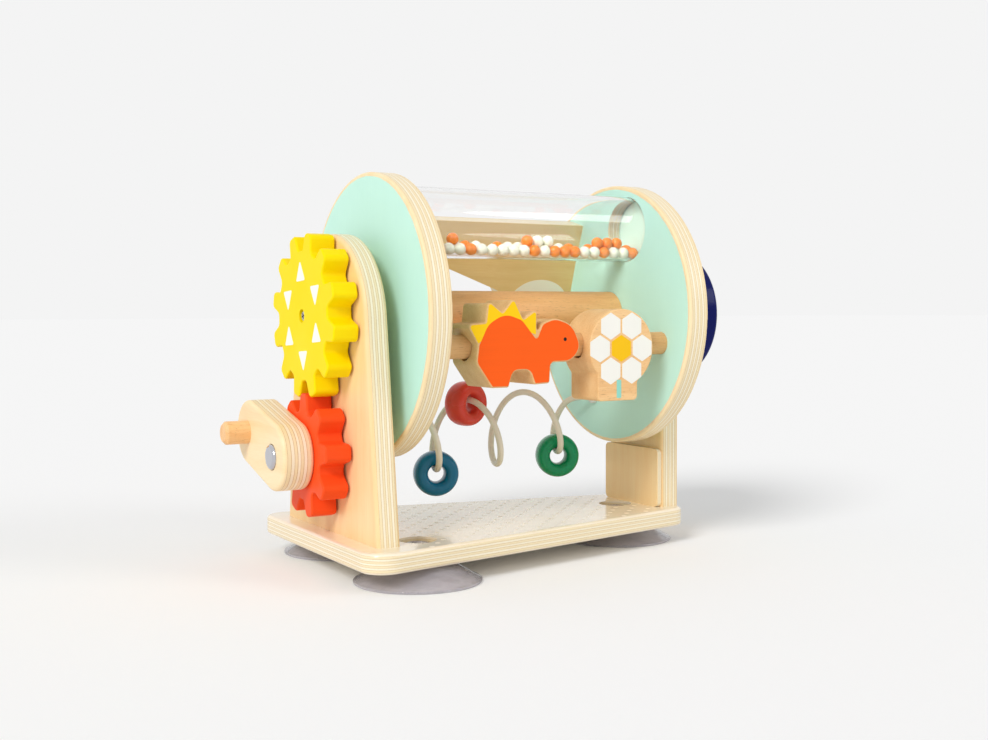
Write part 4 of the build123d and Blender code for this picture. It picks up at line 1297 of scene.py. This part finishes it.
# ---------------------------------------------------------------- wire and beads
@dataclass
class BeadWire:
    """The looped wire and its three ring beads."""

    wire_radius: float = 1.7 * MM
    helix_radius: float = 18.5 * MM
    pitch: float = 37.5 * MM
    turns: int = 3
    start_x: float = -53.8 * MM
    rise: float = 2.7 * MM
    rise_span: tuple[float, float] = (450.0, 270.0)
    last_less: float = 2.5 * MM
    last_on: float = 3.0 * MM
    last_span: tuple[float, float] = (720.0, 180.0)
    helix_y: float = 13.5 * MM
    helix_z: float = -64.5 * MM
    turn_in: float = 55.0
    bend_reach: float = 1.12
    straight: float = 3.0 * MM
    pocket: float = 8.0 * MM
    disc_half_gap: float = 70.0 * MM
    collar_radius: float = 4.2 * MM
    collar_high: float = 2.4 * MM
    collar_soft: float = 0.9 * MM
    collar_grip: float = 0.1 * MM
    collar_sunk: float = 0.2 * MM
    bead_radius: float = 12.25 * MM
    hole_radius: float = 4.5 * MM
    bead_half: float = 6.5 * MM
    bead_power: float = 2.6

    def build(self) -> None:
        """Makes the wire, its collars and the beads."""
        self.wire()
        self.collars()
        for node, slot, colour in (("bead_teal", "teal_paint", "006E94"),
                                   ("bead_coral", "coral_paint", "E04636"),
                                   ("bead_green", "green_paint", "00925C")):
            self.bead(node, slot, colour)

    def eased(self, turn: np.ndarray, start: float, over: float) -> np.ndarray:
        """Goes from 0 to 1 as 3u^2 - 2u^3, where u is the share of the span that the turn has passed."""
        share = np.clip((turn - start) / over, 0, 1)
        return share * share * (3 - 2 * share)

    def helix(self, turn: np.ndarray) -> np.ndarray:
        """Points of the three loops, of which the last is smaller and lies higher.

        P(a) = start + pitch * a / 360 along X, and radius(a) * (-sin a, cos a) in Y and Z.

        Args:
            turn: angles along the loops, in degrees.

        Returns:
            Points, in metres from the axle's middle.
        """
        angle = np.radians(turn)
        last = self.eased(turn, *self.last_span)
        radius = self.helix_radius - self.last_less * last
        rise = self.rise * self.eased(turn, *self.rise_span)
        return np.stack((self.start_x + self.pitch * turn / 360 + self.last_on * last,
                         self.helix_y - radius * np.sin(angle),
                         self.helix_z + rise + radius * np.cos(angle)), axis=1)

    def bend(self, start: np.ndarray, start_way: np.ndarray, end: np.ndarray,
             end_way: np.ndarray) -> np.ndarray:
        """A smooth bend, the cubic that leaves and arrives along given directions.

        Args:
            start: first point.
            start_way: unit direction there.
            end: last point.
            end_way: unit direction there.

        Returns:
            Its inner points.
        """
        reach = np.linalg.norm(end - start) * self.bend_reach
        t = np.linspace(0, 1, 22)[1:-1, None]
        return ((2 * t ** 3 - 3 * t ** 2 + 1) * start + (t ** 3 - 2 * t ** 2 + t) * reach * start_way
                + (3 * t ** 2 - 2 * t ** 3) * end + (t ** 3 - t ** 2) * reach * end_way)

    def path(self) -> np.ndarray:
        """The wire's centre line, from inside one disc to inside the other, from the axle's middle."""
        tube = (middle_of("bead_tube") - AXLE)[1:]
        right = np.array((self.disc_half_gap, -tube[0], -tube[1]))
        left = right * (-1, 1, 1)
        loops = self.helix(np.linspace(self.turn_in, 360 * self.turns - self.turn_in, 300))
        ways = unit(np.gradient(loops, axis=0))
        first, last = left + ALONG * self.straight, right - ALONG * self.straight
        return np.vstack((left - ALONG * self.pocket, first, self.bend(first, ALONG, loops[0], ways[0]),
                          loops, self.bend(loops[-1], ways[-1], last, ALONG), last,
                          right + ALONG * self.pocket))

    def wire(self) -> None:
        """A round tube carried along the path.

        The tube's first normal is the way from the loops' axis to the path, made square to it.
        """
        path = self.path()
        way = unit(np.gradient(path, axis=0))
        spoke = path - np.array((0.0, self.helix_y, self.helix_z))
        spoke[:, 0] = 0.0
        spoke = unit(spoke - (spoke * way).sum(axis=1, keepdims=True) * way)
        beside = np.cross(way, spoke)
        cosine, sine = (part[None, :, None] for part in circle(28))
        ring = cosine * spoke[:, None] + sine * beside[:, None]
        surface = Surface("coated_bead_wire")
        surface.add_capped(AXLE + path[:, None] + self.wire_radius * ring)
        cream = Paint("wire_cream", "EDE6D4", 0.42, 0.0, 0.0, seed=41.0).material()
        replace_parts(surface.piece("drum", "cream_wire", cream, crease=60.0), "bead_wire")

    def collars(self) -> None:
        """A turned plastic collar where the wire enters each disc."""
        tube = (middle_of("bead_tube") - AXLE)[1:]
        lift = np.linspace(0, math.pi / 2, 8)
        hollow = self.wire_radius - self.collar_grip
        soft = self.collar_soft
        rim = np.stack((self.collar_radius - soft + soft * np.cos(lift),
                        self.collar_high - soft + soft * np.sin(lift)), axis=1)
        profile = np.vstack(((hollow, -self.collar_sunk), (self.collar_radius, -self.collar_sunk), rim,
                             (hollow, self.collar_high)))
        surface = Surface("wire_collars")
        for side in (-1.0, 1.0):
            origin = AXLE + np.array((side * self.disc_half_gap, -tube[0], -tube[1]))
            surface.add_grid(turned(profile, origin, -side * ALONG, 48), loop_rows=True, loop_columns=True)
        white = Paint("collar_white", "E9EAE4", 0.3, 0.2, 0.0).material()
        surface.piece("drum", "cream_wire", white, crease=35.0)

    def bead(self, node: str, slot: str, colour: str) -> None:
        """A ring bead, turned from a plump outline about the wire.

        The outline is |x|^p + |y|^p = 1 between bore and rim, which rounds its edges.

        Args:
            node: CAD node that it replaces, which is also its body.
            slot: record's material slot.
            colour: its paint.
        """
        middle = (self.bead_radius + self.hole_radius) / 2
        half = (self.bead_radius - self.hole_radius) / 2
        across, along = (np.sign(part) * np.abs(part) ** (2 / self.bead_power) for part in circle(56))
        profile = np.stack((middle + half * across, self.bead_half * along), axis=1)
        surface = Surface(f"{node}_ring")
        surface.add_grid(turned(profile, middle_of(node), joint_axis(f"{node}_spin"), 96),
                         loop_rows=True, loop_columns=True)
        gloss = Paint(f"{node}_gloss", colour, 0.24, 0.12, 0.08, Grain.ALONG_X, 23.0, 0.3).material()
        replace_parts(surface.piece(node, slot, gloss, crease=180.0), node)


# ---------------------------------------------------------------- floor, light and camera
@dataclass
class Studio:
    """A pale floor, even soft light and the camera at the photograph's angle."""

    background: str = "F4F4F4"
    ambient: float = 0.58
    key_way: tuple[float, float, float] = (-0.74, -0.44, 0.60)
    key_strength: float = 1.62
    fill_way: tuple[float, float, float] = (0.62, -0.62, 0.42)
    fill_strength: float = 0.42
    softness: float = 22.0
    floor_glow: float = 0.02
    floor_half: float = 30.0
    paper: str = "FBFBFB"
    eye: tuple[float, float, float] = (-0.3354, -0.5910, 0.1300)
    target: tuple[float, float, float] = (0.00735, 0.0, 0.10078)
    roll: float = -0.19
    lens: float = 46.03
    shift: tuple[float, float] = (-0.00101, -0.00365)

    def build(self) -> None:
        """Sets the world, the lamps, the floor and the camera."""
        bpy.context.scene.view_settings.view_transform = "Standard"
        self.world()
        self.lamp("key_sun", self.key_way, self.key_strength)
        self.lamp("fill_sun", self.fill_way, self.fill_strength)
        self.floor()
        self.camera()

    def world(self) -> None:
        """An even light, and the background that the camera, gloss and glass see."""
        world = bpy.data.worlds.new("studio_air")
        bpy.context.scene.world = world
        world.use_nodes = True
        graph = Graph(world.node_tree)
        seen = graph.add("ShaderNodeLightPath")
        direct = graph.math("MAXIMUM", seen.outputs["Is Camera Ray"], seen.outputs["Is Glossy Ray"])
        direct = graph.math("MAXIMUM", direct, seen.outputs["Is Transmission Ray"])
        level = self.ambient
        colour = graph.mix(direct, (level, level, level, 1.0), srgb(self.background))
        graph.feed(world.node_tree.nodes["Background"], {"Color": colour, "Strength": 1.0})

    def lamp(self, name: str, way: tuple[float, float, float], strength: float) -> None:
        """A broad distant lamp.

        Args:
            name: name of the lamp.
            way: direction from the toy to the lamp.
            strength: light on a face square to it.
        """
        data = bpy.data.lights.new(name, "SUN")
        data.energy = strength
        data.angle = math.radians(self.softness)
        lamp = bpy.data.objects.new(name, data)
        lamp.rotation_euler = look_along(-unit(np.array(way)))
        bpy.context.scene.collection.objects.link(lamp)

    def floor(self) -> None:
        """A wide flat floor that keeps the toy's shadow."""
        corners = [(x * self.floor_half, y * self.floor_half, 0.0)
                   for x, y in ((-1, -1), (1, -1), (1, 1), (-1, 1))]
        mesh = bpy.data.meshes.new("studio_floor")
        mesh.from_pydata(corners, [], [(0, 1, 2, 3)])
        finish = Finish("floor_paper")
        seen = finish.graph.add("ShaderNodeLightPath").outputs["Is Camera Ray"]
        glow = finish.graph.math("MULTIPLY", seen, self.floor_glow)
        finish.set(Base_Color=srgb(self.paper), Roughness=1.0, Specular_IOR_Level=0.0,
                   Emission_Color=(1.0, 1.0, 1.0, 1.0), Emission_Strength=glow)
        mesh.materials.append(finish.material)
        floor = bpy.data.objects.new(mesh.name, mesh)
        bpy.context.scene.collection.objects.link(floor)

    def camera(self) -> None:
        """The camera, solved from the photograph's outlines."""
        data = bpy.data.cameras.new("photo_camera")
        data.lens = self.lens
        data.sensor_width = 36.0
        data.sensor_fit = "HORIZONTAL"
        data.shift_x, data.shift_y = self.shift
        data.clip_start, data.clip_end = 0.01, 100.0
        camera = bpy.data.objects.new("photo_camera", data)
        camera.location = self.eye
        way = unit(np.array(self.target) - np.array(self.eye))
        camera.rotation_euler = look_along(way, math.radians(self.roll))
        bpy.context.scene.collection.objects.link(camera)
        bpy.context.scene.camera = camera


def main() -> None:
    """Builds every sub-assembly in order."""
    logging.basicConfig(level=logging.INFO, format="%(message)s")
    for assembly in (Stand(), Drive(), Drum(), BallTube(), Figures(), BeadWire(), Studio()):
        LOG.info("-- %s", type(assembly).__name__)
        assembly.build()


if __name__ == "__main__":
    main()
